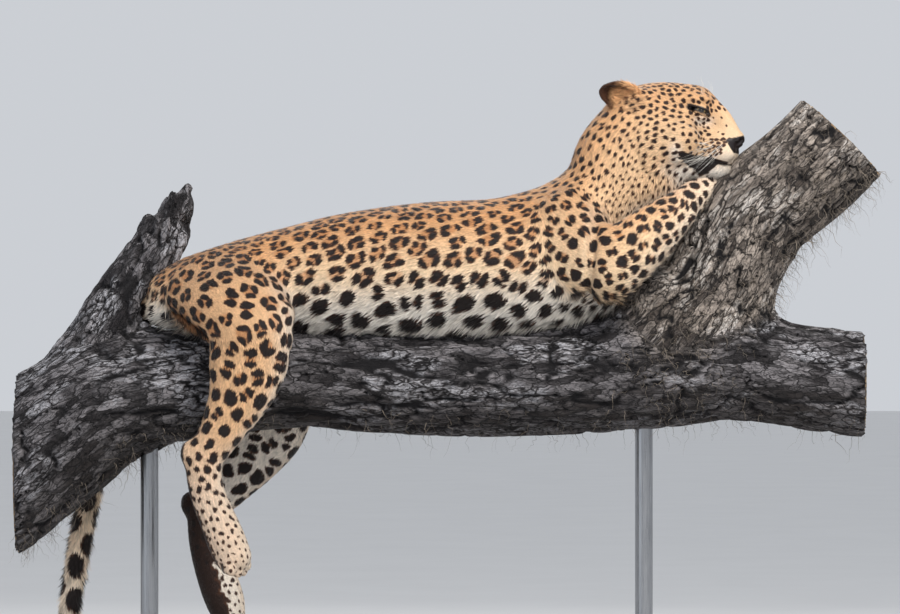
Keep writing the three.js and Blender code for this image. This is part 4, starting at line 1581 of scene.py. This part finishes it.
def coat_piece(name, chosen, part):
    points = blade[chosen].reshape(-1, 3)
    faces = (np.arange(len(chosen))[:, None, None] * 5 + BLADE_FACES).reshape(-1, 3)
    mesh = mesh_of_arrays(name, points, faces, blade_normals[chosen].reshape(-1, 3))
    patches = (unwrapped(root_points[chosen], part)[:, None] + BLADE_UV).reshape(-1, 2)
    layer = mesh.uv_layers.new(name="OFBake")
    layer.data.foreach_set("uv", patches[faces.ravel()].astype(np.float32).ravel())
    per_tuft = {
        "mark": root_mark / MM,
        "core": root_core,
        "warm": root_warm,
        "pale": root_pale,
        "bare": np.zeros(TUFT_COUNT),
        "tone": hair_tone,
    }
    set_attributes(mesh, **{key: np.repeat(value[chosen], 5) for key, value in per_tuft.items()})
    set_attributes(mesh, tip=np.tile(BLADE_TIP, len(chosen)))
    piece = in_scene(name, mesh)
    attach(piece, "root")
    return piece


root_warm, root_pale = at_roots(skin_warm), at_roots(skin_pale)
coat = []
for part, name in enumerate(PART_NAMES):
    mine = np.flatnonzero(root_part == part)
    order = unwrapped(root_points[mine], part)[:, 0].argsort()
    pieces = math.ceil(len(mine) / MOST_TUFTS)
    for k, chosen in enumerate(np.array_split(mine[order], pieces)):
        coat.append(coat_piece(f"coat_{name}_{k + 1}", chosen, part))
print(len(coat), "coat pieces,", TUFT_COUNT * len(BLADE_FACES), "triangles")

# %% [markdown]
# ## Colours of the coat
# One node group turns the attributes into colour, for the skin and for every tuft. The ground colour runs
# from cream to tan on the back and to near white below. A rosette's centre is a deeper tan, and the blotches
# are dark brown at their edges and almost black inside.


# %% Node helpers
def feed(tree, node, **inputs):
    """Sets or links sockets: s and a number is one by its place, else _ in a name stands for a space."""
    for key, value in inputs.items():
        by_place = key[0] == "s" and key[1:].isdigit()
        socket = node.inputs[int(key[1:]) if by_place else key.replace("_", " ")]
        if isinstance(value, bpy.types.NodeSocket):
            tree.links.new(value, socket)
        else:
            socket.default_value = value


def add(tree, kind, settings=None, **inputs):
    """A node with its settings, values and links."""
    made = tree.nodes.new(kind)
    for key, value in (settings or {}).items():
        setattr(made, key, value)
    feed(tree, made, **inputs)
    return made


def colour(red, green, blue):
    """A colour given as in a paint program, 0 to 255, turned into linear light."""
    values = [c / 255 for c in (red, green, blue)]
    return (*(c / 12.92 if c < 0.04045 else ((c + 0.055) / 1.055) ** 2.4 for c in values), 1)


def blend_colours(tree, share, first, second, kind="MIX"):
    settings = {"data_type": "RGBA", "blend_type": kind}
    return add(tree, "ShaderNodeMix", settings, s0=share, s6=first, s7=second).outputs[2]


def span(tree, value, low, high, to_low=0.0, to_high=1.0, smooth=True):
    kind = {"interpolation_type": "SMOOTHSTEP" if smooth else "LINEAR"}
    made = add(tree, "ShaderNodeMapRange", kind, s0=value, s1=low, s2=high, s3=to_low, s4=to_high)
    return made.outputs[0]


def maths(tree, kind, first, second=0.0):
    return add(tree, "ShaderNodeMath", {"operation": kind}, s0=first, s1=second).outputs[0]


def product(tree, first, second):
    return maths(tree, "MULTIPLY", first, second)


def total(tree, first, second):
    return maths(tree, "ADD", first, second)


def noise(tree, place, scale, detail=3.0, rough=0.6):
    made = add(tree, "ShaderNodeTexNoise", None, Vector=place, Scale=scale, Detail=detail, Roughness=rough)
    return made.outputs[0]


def cells(tree, place, scale, output="Distance", feature="F1"):
    made = add(tree, "ShaderNodeTexVoronoi", {"feature": feature}, Vector=place, Scale=scale)
    return made.outputs[output]


def bumps(tree, height, strength, distance):
    made = add(tree, "ShaderNodeBump", None, Strength=strength, Distance=distance, Height=height)
    return made.outputs[0]


def own_place(tree):
    return add(tree, "ShaderNodeTexCoord").outputs["Object"]


def new_group(name, inputs, outputs):
    group = bpy.data.node_groups.new(name, "ShaderNodeTree")
    for title, kind in inputs.items():
        group.interface.new_socket(title, in_out="INPUT", socket_type=f"NodeSocket{kind}")
    for title, kind in outputs.items():
        group.interface.new_socket(title, in_out="OUTPUT", socket_type=f"NodeSocket{kind}")
    return group, group.nodes.new("NodeGroupInput").outputs, group.nodes.new("NodeGroupOutput").inputs


def new_material(name):
    made = bpy.data.materials.new(name)
    made.use_nodes = True
    return made, made.node_tree, made.node_tree.nodes["Principled BSDF"]


def attribute(tree, name, kind="Fac"):
    return add(tree, "ShaderNodeAttribute", {"attribute_name": name}).outputs[kind]


# %% The coat's colour group
TAN, CREAM, WHITE = colour(211, 158, 108), colour(226, 198, 163), colour(233, 227, 218)
ROSETTE_TAN = colour(182, 122, 74)
SPOT_EDGE, SPOT_BLACK, BARE = colour(74, 44, 28), colour(26, 18, 17), colour(24, 18, 19)
COAT_VALUES = ("Mark", "Core", "Warm", "Pale", "Bare", "Tone", "Tip")

coat_group, given, out = new_group("coat_colours", dict.fromkeys(COAT_VALUES, "Float"), {"Colour": "Color"})
ground = blend_colours(coat_group, given["Warm"], CREAM, TAN)
ground = blend_colours(coat_group, given["Pale"], ground, WHITE)
core = product(coat_group, given["Core"], maths(coat_group, "SUBTRACT", 0.75, given["Pale"]))
ground = blend_colours(coat_group, core, ground, ROSETTE_TAN)
by_tone = span(coat_group, given["Tone"], 0, 1, 0.64, 1.24, False)
# Painted shade in the coat: each tuft is darker at its root than at its tip.
root_shade = span(coat_group, given["Tip"], 0, 1, 0.74, 1.12, False)
shade = product(coat_group, by_tone, root_shade)
grey = add(coat_group, "ShaderNodeCombineColor", None, Red=shade, Green=shade, Blue=shade).outputs[0]
ground = blend_colours(coat_group, 1.0, ground, grey, "MULTIPLY")
spot = blend_colours(coat_group, span(coat_group, given["Mark"], -2.6, -0.4), SPOT_BLACK, SPOT_EDGE)
ground = blend_colours(coat_group, span(coat_group, given["Mark"], 0.7, -0.4), ground, spot)
coat_group.links.new(blend_colours(coat_group, given["Bare"], ground, BARE), out["Colour"])


def coat_colours(tree):
    group = add(tree, "ShaderNodeGroup", {"node_tree": coat_group})
    for name in COAT_VALUES:
        tree.links.new(attribute(tree, name.lower()), group.inputs[name])
    return group.outputs["Colour"]


# %% Fur and skin
fur, tree, shader = new_material("fur")
feed(tree, shader, Base_Color=coat_colours(tree), Roughness=0.62, Specular_IOR_Level=0.25)
feed(tree, shader, Sheen_Weight=0.15, Sheen_Roughness=0.45)
for piece in coat:
    piece.data.materials.append(fur)

hide, tree, shader = new_material("short_fur_and_bare_skin")
place, bare = own_place(tree), attribute(tree, "bare")
hairs, pebbles = noise(tree, place, 900.0, 2.0), cells(tree, place, 700.0)
height = add(tree, "ShaderNodeMix", None, s0=bare, s2=hairs, s3=pebbles).outputs[0]
feed(tree, shader, Base_Color=coat_colours(tree), Normal=bumps(tree, height, 0.35, 0.0006))
feed(tree, shader, Roughness=span(tree, bare, 0, 1, 0.75, 0.34), Specular_IOR_Level=0.35)
skin_mesh.materials.append(hide)
print("coat materials", [m.name for m in bpy.data.materials])

# %% [markdown]
# ## Eyes
# A leopard's eye is a clear wet ball with an amber iris and a round pupil. The lids are nearly shut here, so
# only a narrow dark band of it shows. A profile turned round the way it looks makes the ball with a slight
# bulge for the cornea, and the angle from that way, kept on each vertex, draws pupil and iris.


# %% Eyeballs
def ring_faces(rings, around):
    """Quads between rings of points that follow one another."""
    rows, columns = np.meshgrid(np.arange(rings - 1), np.arange(around), indexing="ij")
    a, b = rows * around + columns, rows * around + (columns + 1) % around
    return np.stack([a, a + around, b + around, b], -1).reshape(-1, 4)


def revolve(profile, around):
    """A closed surface turned round the x axis, from (x, radius) rows."""
    turns = np.linspace(0, 2 * math.pi, around, endpoint=False)
    rings = [np.stack([np.full(around, x), r * np.cos(turns), r * np.sin(turns)], 1) for x, r in profile]
    return np.concatenate(rings), ring_faces(len(profile), around)


CORNEA_RISE, CORNEA_SPREAD, CORNEA_POLE = 0.0011, 0.55, 0.03
EYE_RINGS, EYE_AROUND = 25, 32
eyes = []
for name, s in SIDES.items():
    angles = np.linspace(CORNEA_POLE, math.pi - CORNEA_POLE, EYE_RINGS)
    radius = (EYE_RADIUS + CORNEA_RISE * np.exp(-((angles / CORNEA_SPREAD) ** 2)))[:, None]
    points, faces = revolve(np.stack([np.cos(angles), np.sin(angles)], 1) * radius, EYE_AROUND)
    gaze = direction((0.32, s * 0.94, 0.08))
    side = direction(np.cross((0, 0, 1), gaze))
    place = from_head(points @ np.array([gaze, side, np.cross(gaze, side)]) + eye_place(s))
    mesh = new_mesh(f"eyeball_{name}", place, faces)
    mesh.shade_smooth()
    set_attributes(mesh, ring=np.repeat(angles, EYE_AROUND))
    ball = in_scene(f"eyeball_{name}", mesh)
    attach(ball, "root")
    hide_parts(f"eye_{name}")
    eyes.append(ball)
print("eyes", [ball.name for ball in eyes])

wet_eye, tree, shader = new_material("wet_eye")
ring = attribute(tree, "ring")
fibres = noise(tree, own_place(tree), 600.0, 4.0)
# The iris is painted a dark brown rather than amber, as painted shade on the nearly shut eye.
iris = blend_colours(tree, fibres, colour(62, 48, 24), colour(104, 84, 40))
iris = blend_colours(tree, span(tree, ring, 0.46, 0.66), iris, colour(22, 16, 12))
seen = blend_colours(tree, span(tree, ring, 0.32, 0.37), colour(4, 4, 4), iris)
feed(tree, shader, Base_Color=seen, Roughness=0.08, Coat_Weight=1.0, Coat_Roughness=0.03)
for ball in eyes:
    ball.data.materials.append(wet_eye)

# %% [markdown]
# ## Whiskers
# The whiskers are stiff white hairs, thick at the root and fine at the tip, in rows on the pads of the
# muzzle, and a few stand over each eye. They sweep back and droop a little. Each is a thin tube of three
# sides, and all are one mesh, because hair curves don't reach the exported model.


# %% Thin tapering tubes
THIN_TIP = 0.12


def fine_tubes(name, paths, radii, sides=3):
    """One mesh of thin tubes, from a list of paths and a list of root radii."""
    points, faces, base = [], [], 0
    turns = np.linspace(0, 2 * math.pi, sides, endpoint=False)
    for path, radius in zip(paths, radii):
        ahead = unit(np.gradient(path, axis=0))
        side = unit(np.cross(ahead, [0.31, 0.83, 0.46]))
        other = np.cross(ahead, side)
        taper = radius * np.linspace(1, THIN_TIP, len(path))[:, None, None]
        ring = side[:, None] * np.cos(turns)[None, :, None] + other[:, None] * np.sin(turns)[None, :, None]
        points.append((path[:, None] + ring * taper).reshape(-1, 3))
        faces.append(base + ring_faces(len(path), sides)[:, [0, 3, 2, 1]])
        base += len(path) * sides
    return in_scene(name, mesh_of_arrays(name, np.concatenate(points), np.concatenate(faces)))


def flowing(start, away, later, length, steps=9):
    """A curve that leaves one way and bends towards another."""
    path, place = [start], start
    for share in np.linspace(0, 1, steps - 1):
        way = away * (1 - share) + later * share
        place = place + way / np.linalg.norm(way) * length / (steps - 1)
        path.append(place)
    return np.array(path)


WHISKER_LONG, WHISKER_THICK = (0.045, 0.080), (0.00032, 0.00052)
BROW_LONG, BROW_THICK, BROW_HAIRS = (0.025, 0.045), 0.0003, 5
whisker_paths, whisker_radii = [], []
for place, normal, droop, s, row in whisker_roots:
    for _ in range(rng.integers(0, 2) if row < 2 else rng.integers(1, 3)):
        length = rng.uniform(*WHISKER_LONG)
        down = -0.1 - 0.9 * droop + rng.normal(0, 0.18)
        away = normal * 0.7 + HEAD_AXES.T @ np.array([-0.8, 0, down]) + rng.normal(0, 0.08, 3)
        later = HEAD_AXES.T @ np.array([-0.9, s * 0.15, down])
        whisker_paths.append(flowing(place - normal * 0.001, away, later, length))
        whisker_radii.append(rng.uniform(*WHISKER_THICK))
for s in SIDES.values():
    for _ in range(BROW_HAIRS):
        root = from_head(eye_place(s) + mm(rng.uniform(-8, 8), s * 4, 21))
        k = skin_tree.find(root)[1]
        later = HEAD_AXES.T @ np.array([-0.5, s * 0.4, 0.8]) + rng.normal(0, 0.15, 3)
        whisker_paths.append(flowing(skin_points[k], skin_normals[k], later, rng.uniform(*BROW_LONG)))
        whisker_radii.append(BROW_THICK)
whiskers = fine_tubes("whiskers", whisker_paths, whisker_radii)
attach(whiskers, "root")


# %% A finish for thin hairs and fibres
def thread_finish(name, scale, dark, light, roughness):
    made, tree, shader = new_material(name)
    shade = span(tree, noise(tree, own_place(tree), scale), 0.3, 0.7)
    feed(tree, shader, Base_Color=blend_colours(tree, shade, dark, light), Roughness=roughness)
    return made


whisker_white = thread_finish("whisker_white", 120.0, colour(205, 200, 190), colour(248, 246, 240), 0.35)
whiskers.data.materials.append(whisker_white)
print(len(whisker_paths), "whiskers")

# %% [markdown]
# ## Bark, rootlets and sawn ends
# The bark is dark grey with patches of pale lichen on the ridges. Its cracks are dark, painted nearly black
# with painted shade, and its underside is painted dark brown as painted shade. The limb is warmer and paler,
# and fine dry rootlets hang from its underside. The two ends of the branch and the end of the limb are sawn,
# and show their rings and the dry cracks that run out from the heart. One material does all of it, because
# bark and sawn wood are one mesh, and masks kept on its vertices say which is where.

# %% Attributes on the bark
set_attributes(
    bark_mesh,
    crack=bark_crack,
    patch=bark_patch,
    cut=1 - bark_cover,
    limb=ramp(limb(bark_points) - branch(bark_points), 0.03, -0.03),
    # under: how far the bark faces down, which carries the painted shade on its underside.
    under=ramp(bark_normals[:, 2], 0.1, -0.8),
)
grain_attribute = bark_mesh.attributes.new("grain", "FLOAT_VECTOR", "POINT")
grain_attribute.data.foreach_set("vector", bark_grain.astype(np.float32).ravel())

# %% The bark's material
SCALES, FLAKES = 150.0, 66.0
bark_finish, tree, shader = new_material("scaly_bark")
grain = attribute(tree, "grain", "Vector")
masks = ("crack", "patch", "cut", "limb", "under")
crack, patch, cut, on_limb, under = (attribute(tree, name) for name in masks)
broad, fine = noise(tree, grain, 45.0, 5.0, 0.65), noise(tree, grain, 260.0, 6.0, 0.7)
bent = add(tree, "ShaderNodeTexNoise", None, Vector=grain, Scale=90.0).outputs["Color"]
bent = blend_colours(tree, 0.02, grain, bent)
scales = cells(tree, bent, SCALES, feature="DISTANCE_TO_EDGE")
flakes = cells(tree, bent, FLAKES, feature="DISTANCE_TO_EDGE")
flake_tint = add(tree, "ShaderNodeSeparateColor", None, Color=cells(tree, bent, FLAKES, "Color")).outputs[0]
tone = total(tree, product(tree, flake_tint, 0.30), product(tree, broad, 0.70))
cool = blend_colours(tree, span(tree, tone, 0.34, 0.66), colour(40, 37, 39), colour(134, 130, 133))
warm = blend_colours(tree, span(tree, tone, 0.32, 0.66), colour(70, 62, 57), colour(174, 162, 152))
face = blend_colours(tree, on_limb, cool, warm)
lichen = blend_colours(tree, on_limb, colour(194, 193, 199), colour(228, 220, 213))
bright = product(tree, span(tree, patch, 0.00, 0.55, 0.0, 0.95), span(tree, fine, 0.42, 0.54))
bright = product(tree, bright, span(tree, flakes, 0.03, 0.16))
face = blend_colours(tree, bright, face, lichen)
# Painted shade: the underside of the wood is darkened to dark brown.
face = blend_colours(tree, product(tree, under, 0.65), face, colour(46, 39, 35))
face = blend_colours(tree, span(tree, fine, 0.48, 0.62, 0.0, 0.5), face, colour(34, 31, 34))
# Painted shade: the cracks, and the edges of the scales inside them, are painted nearly black.
gap = product(tree, span(tree, crack, 0.80, 0.25), span(tree, scales, 0.0, 0.08, 0.5, 1.0))
gap = product(tree, gap, span(tree, flakes, 0.0, 0.07, 0.15, 1.0))
face = blend_colours(tree, gap, colour(17, 15, 18), face)

# %% The sawn wood in the same material
RINGS = 1150.0
heart = add(tree, "ShaderNodeSeparateXYZ", None, Vector=grain).outputs
flat = add(tree, "ShaderNodeCombineXYZ", None, X=heart[1], Y=heart[2]).outputs[0]
away = add(tree, "ShaderNodeVectorMath", {"operation": "LENGTH"}, Vector=flat).outputs["Value"]
away = total(tree, away, product(tree, noise(tree, flat, 14.0), 0.012))
rings = maths(tree, "SINE", product(tree, away, RINGS))
wood = blend_colours(tree, span(tree, rings, -1.0, 1.0), colour(150, 122, 92), colour(176, 150, 116))
wood = blend_colours(tree, span(tree, away, 0.020, 0.0, 0.0, 0.5), wood, colour(110, 80, 56))
outward = add(tree, "ShaderNodeVectorMath", {"operation": "NORMALIZE"}, Vector=flat).outputs["Vector"]
dry_cracks = span(tree, noise(tree, outward, 7.0, 4.0, 0.7), 0.60, 0.66)
dry_cracks = product(tree, dry_cracks, span(tree, away, 0.012, 0.05))
wood = blend_colours(tree, product(tree, dry_cracks, 0.75), wood, colour(58, 44, 34))
rough = total(tree, product(tree, fine, 1.3), total(tree, tone, product(tree, gap, 1.4)))
rough = product(tree, maths(tree, "SUBTRACT", 1.0, cut), rough)
feed(tree, shader, Base_Color=blend_colours(tree, span(tree, cut, 0.4, 0.8), face, wood))
feed(tree, shader, Normal=bumps(tree, rough, 1.0, 0.0046), Specular_IOR_Level=0.3)
feed(tree, shader, Roughness=span(tree, fine, 0.2, 0.8, 0.72, 0.95))
bark_mesh.materials.append(bark_finish)

# %% Rootlets
ROOTLETS = 1500
ROOTLET_LONG, ROOTLET_THICK = (0.015, 0.060), (0.00025, 0.0006)
HANG, CURL, ROOTED = np.array([0, 0, -1.1]), 0.0030, 0.003
rootlet_paths, rootlet_radii = [], []
low_bark = np.flatnonzero((bark_normals[:, 2] < 0.25) & (bark_cover > 0.9))
bark_x, bark_h = bark_points[low_bark, 0], bark_points[low_bark, 2] - PERCH_TOP
under_limb = ramp(limb(bark_points[low_bark]), 0.02, 0.0) * (bark_h > -0.10)
crotch = np.exp(-(((bark_x - 0.44) / 0.09) ** 2 + ((bark_h + 0.03) / 0.09) ** 2)) * 1.8
below = 0.2 * (bark_normals[low_bark, 2] < -0.5) * (1 + 2 * (bark_x < -0.35))
chance = under_limb + crotch + below
for k in rng.choice(low_bark, ROOTLETS, p=chance / chance.sum()):
    length = rng.uniform(*ROOTLET_LONG)
    away = bark_normals[k] + rng.normal(0, 0.5, 3)
    later = HANG + rng.normal(0, 0.45, 3)
    path = flowing(bark_points[k] - bark_normals[k] * ROOTED, away, later, length)
    curl = np.cumsum(rng.normal(0, CURL, path.shape), axis=0)
    rootlet_paths.append(path + curl)
    rootlet_radii.append(rng.uniform(*ROOTLET_THICK))
rootlets = fine_tubes("rootlets", rootlet_paths, rootlet_radii)
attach(rootlets, "root")
dry_rootlets = thread_finish("dry_rootlets", 60.0, colour(70, 62, 56), colour(150, 138, 124), 0.9)
rootlets.data.materials.append(dry_rootlets)
print(len(rootlet_paths), "rootlets")

# %% [markdown]
# ## The stand
# The museum's stand is plain: a low black base and two brushed steel rods. The solids have the right shape,
# so they stay as they are and only get their finishes, and a small collar dresses the foot of each rod.

# %% Paint and steel
paint, tree, shader = new_material("satin_black_paint")
place = own_place(tree)
tint = blend_colours(tree, noise(tree, place, 9.0), colour(20, 20, 22), colour(34, 34, 37))
orange_peel = bumps(tree, noise(tree, place, 420.0, 2.0), 0.12, 0.0004)
worn = span(tree, noise(tree, place, 30.0), 0.3, 0.7, 0.34, 0.46)
feed(tree, shader, Base_Color=tint, Roughness=worn, Normal=orange_peel)

steel, tree, shader = new_material("brushed_steel")
drawn = add(tree, "ShaderNodeMapping", None, Vector=own_place(tree), Scale=(900.0, 900.0, 14.0)).outputs[0]
lines = noise(tree, drawn, 1.0, 3.0)
tint = blend_colours(tree, lines, colour(120, 122, 126), colour(176, 178, 182))
feed(tree, shader, Base_Color=tint, Roughness=span(tree, lines, 0.3, 0.7, 0.26, 0.42), Metallic=1.0)


# %% Stand and collars
COLLAR_LIFT, COLLAR_AROUND = 0.0003, 48
COLLAR = (
    # height in metres, and radius in radii of the rod
    (0, 0),
    (0, 2.3),
    (0.006, 2.35),
    (0.0075, 2.25),
    (0.009, 1.30),
    (0.017, 1.22),
    (0.018, 1.05),
    (0.018, 1.0),
)
for name, finish in (("stand_base", paint), ("stand_rod_rear", steel), ("stand_rod_front", steel)):
    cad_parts[name].data.materials.clear()
    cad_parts[name].data.materials.append(finish)
collars = []
for name in ("stand_rod_rear", "stand_rod_front"):
    low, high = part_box(name)
    radius = (high[0] - low[0]) / 2
    middle = np.array([(low[0] + high[0]) / 2, (low[1] + high[1]) / 2, low[2]])
    points, faces = revolve([(x + COLLAR_LIFT, max(r, 0.02) * radius) for x, r in COLLAR], COLLAR_AROUND)
    mesh = new_mesh(name.replace("stand_rod", "rod_collar"), points[:, [1, 2, 0]] + middle, faces)
    mesh.shade_smooth()
    mesh.materials.append(steel)
    collar = in_scene(mesh.name, mesh)
    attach(collar, "root")
    collars.append(collar)
print("stand dressed, collars", [c.name for c in collars])

# %% [markdown]
# ## Joining the pieces to the model
# The skin stands for all the nodes of flesh and the bark for the three of wood. Nothing moves, so every piece
# rides on the one body of the model.

# %% What stands for what
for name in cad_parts:
    if name.startswith("perch"):
        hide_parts(name)
    elif not name.startswith(("stand", "eye")):
        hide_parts(name)
for piece, slot_name in ((skin, "coat"), (bark, "bark")):
    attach(piece, "root")

# %% [markdown]
# ## Studio
# The photo looks level at the animal from far away with a long lens, so the camera stands nine metres off.
# A wide pale floor, a large soft key light from the upper right, a cooler fill and a rim from behind give
# the plain light of a studio.

# %% Camera
camera_data = bpy.data.cameras.new("camera")
camera_data.lens = 200
camera_data.sensor_width = 36
camera = in_scene("camera", camera_data)
camera.location = (0.036, -9.0, 0.812)
camera.rotation_euler = (math.pi / 2, 0, 0)
bpy.context.scene.camera = camera

# %% Floor
FLOOR_SIDE = 60
bpy.ops.mesh.primitive_plane_add(size=FLOOR_SIDE)
floor = bpy.context.object
floor.name = "floor"
pale_floor, tree, shader = new_material("pale_floor")
mottle = noise(tree, own_place(tree), 3.0)
floor_tint = blend_colours(tree, mottle, colour(214, 214, 214), colour(222, 222, 222))
feed(tree, shader, Base_Color=floor_tint, Roughness=0.7)
floor.data.materials.append(pale_floor)


# %% Lights
def area_light(name, place, aim, size, watts, tint):
    data = bpy.data.lights.new(name, "AREA")
    data.shape = "RECTANGLE"
    data.size, data.size_y = size
    data.energy = watts
    data.color = tint
    light = in_scene(name, data)
    light.location = place
    light.rotation_euler = (Vector(aim) - Vector(place)).to_track_quat("-Z", "Y").to_euler()


area_light("key_light", (1.5, -2.5, 3.4), (0, 0, 0.85), (1.2, 1.2), 170, (1.0, 0.965, 0.91))
area_light("fill_light", (-3.4, -2.8, 1.8), (0, 0, 0.8), (2.5, 2.5), 28, (0.86, 0.93, 1.0))
area_light("back_light", (0.4, 3.0, 2.8), (0, 0, 0.9), (2.5, 1.5), 70, (1.0, 0.97, 0.92))
world = bpy.data.worlds.new("studio")
bpy.context.scene.world = world
world.use_nodes = True
feed(world.node_tree, world.node_tree.nodes["Background"], Color=(0.80, 0.83, 0.88, 1), Strength=0.75)
bpy.context.scene.view_settings.view_transform = "Standard"
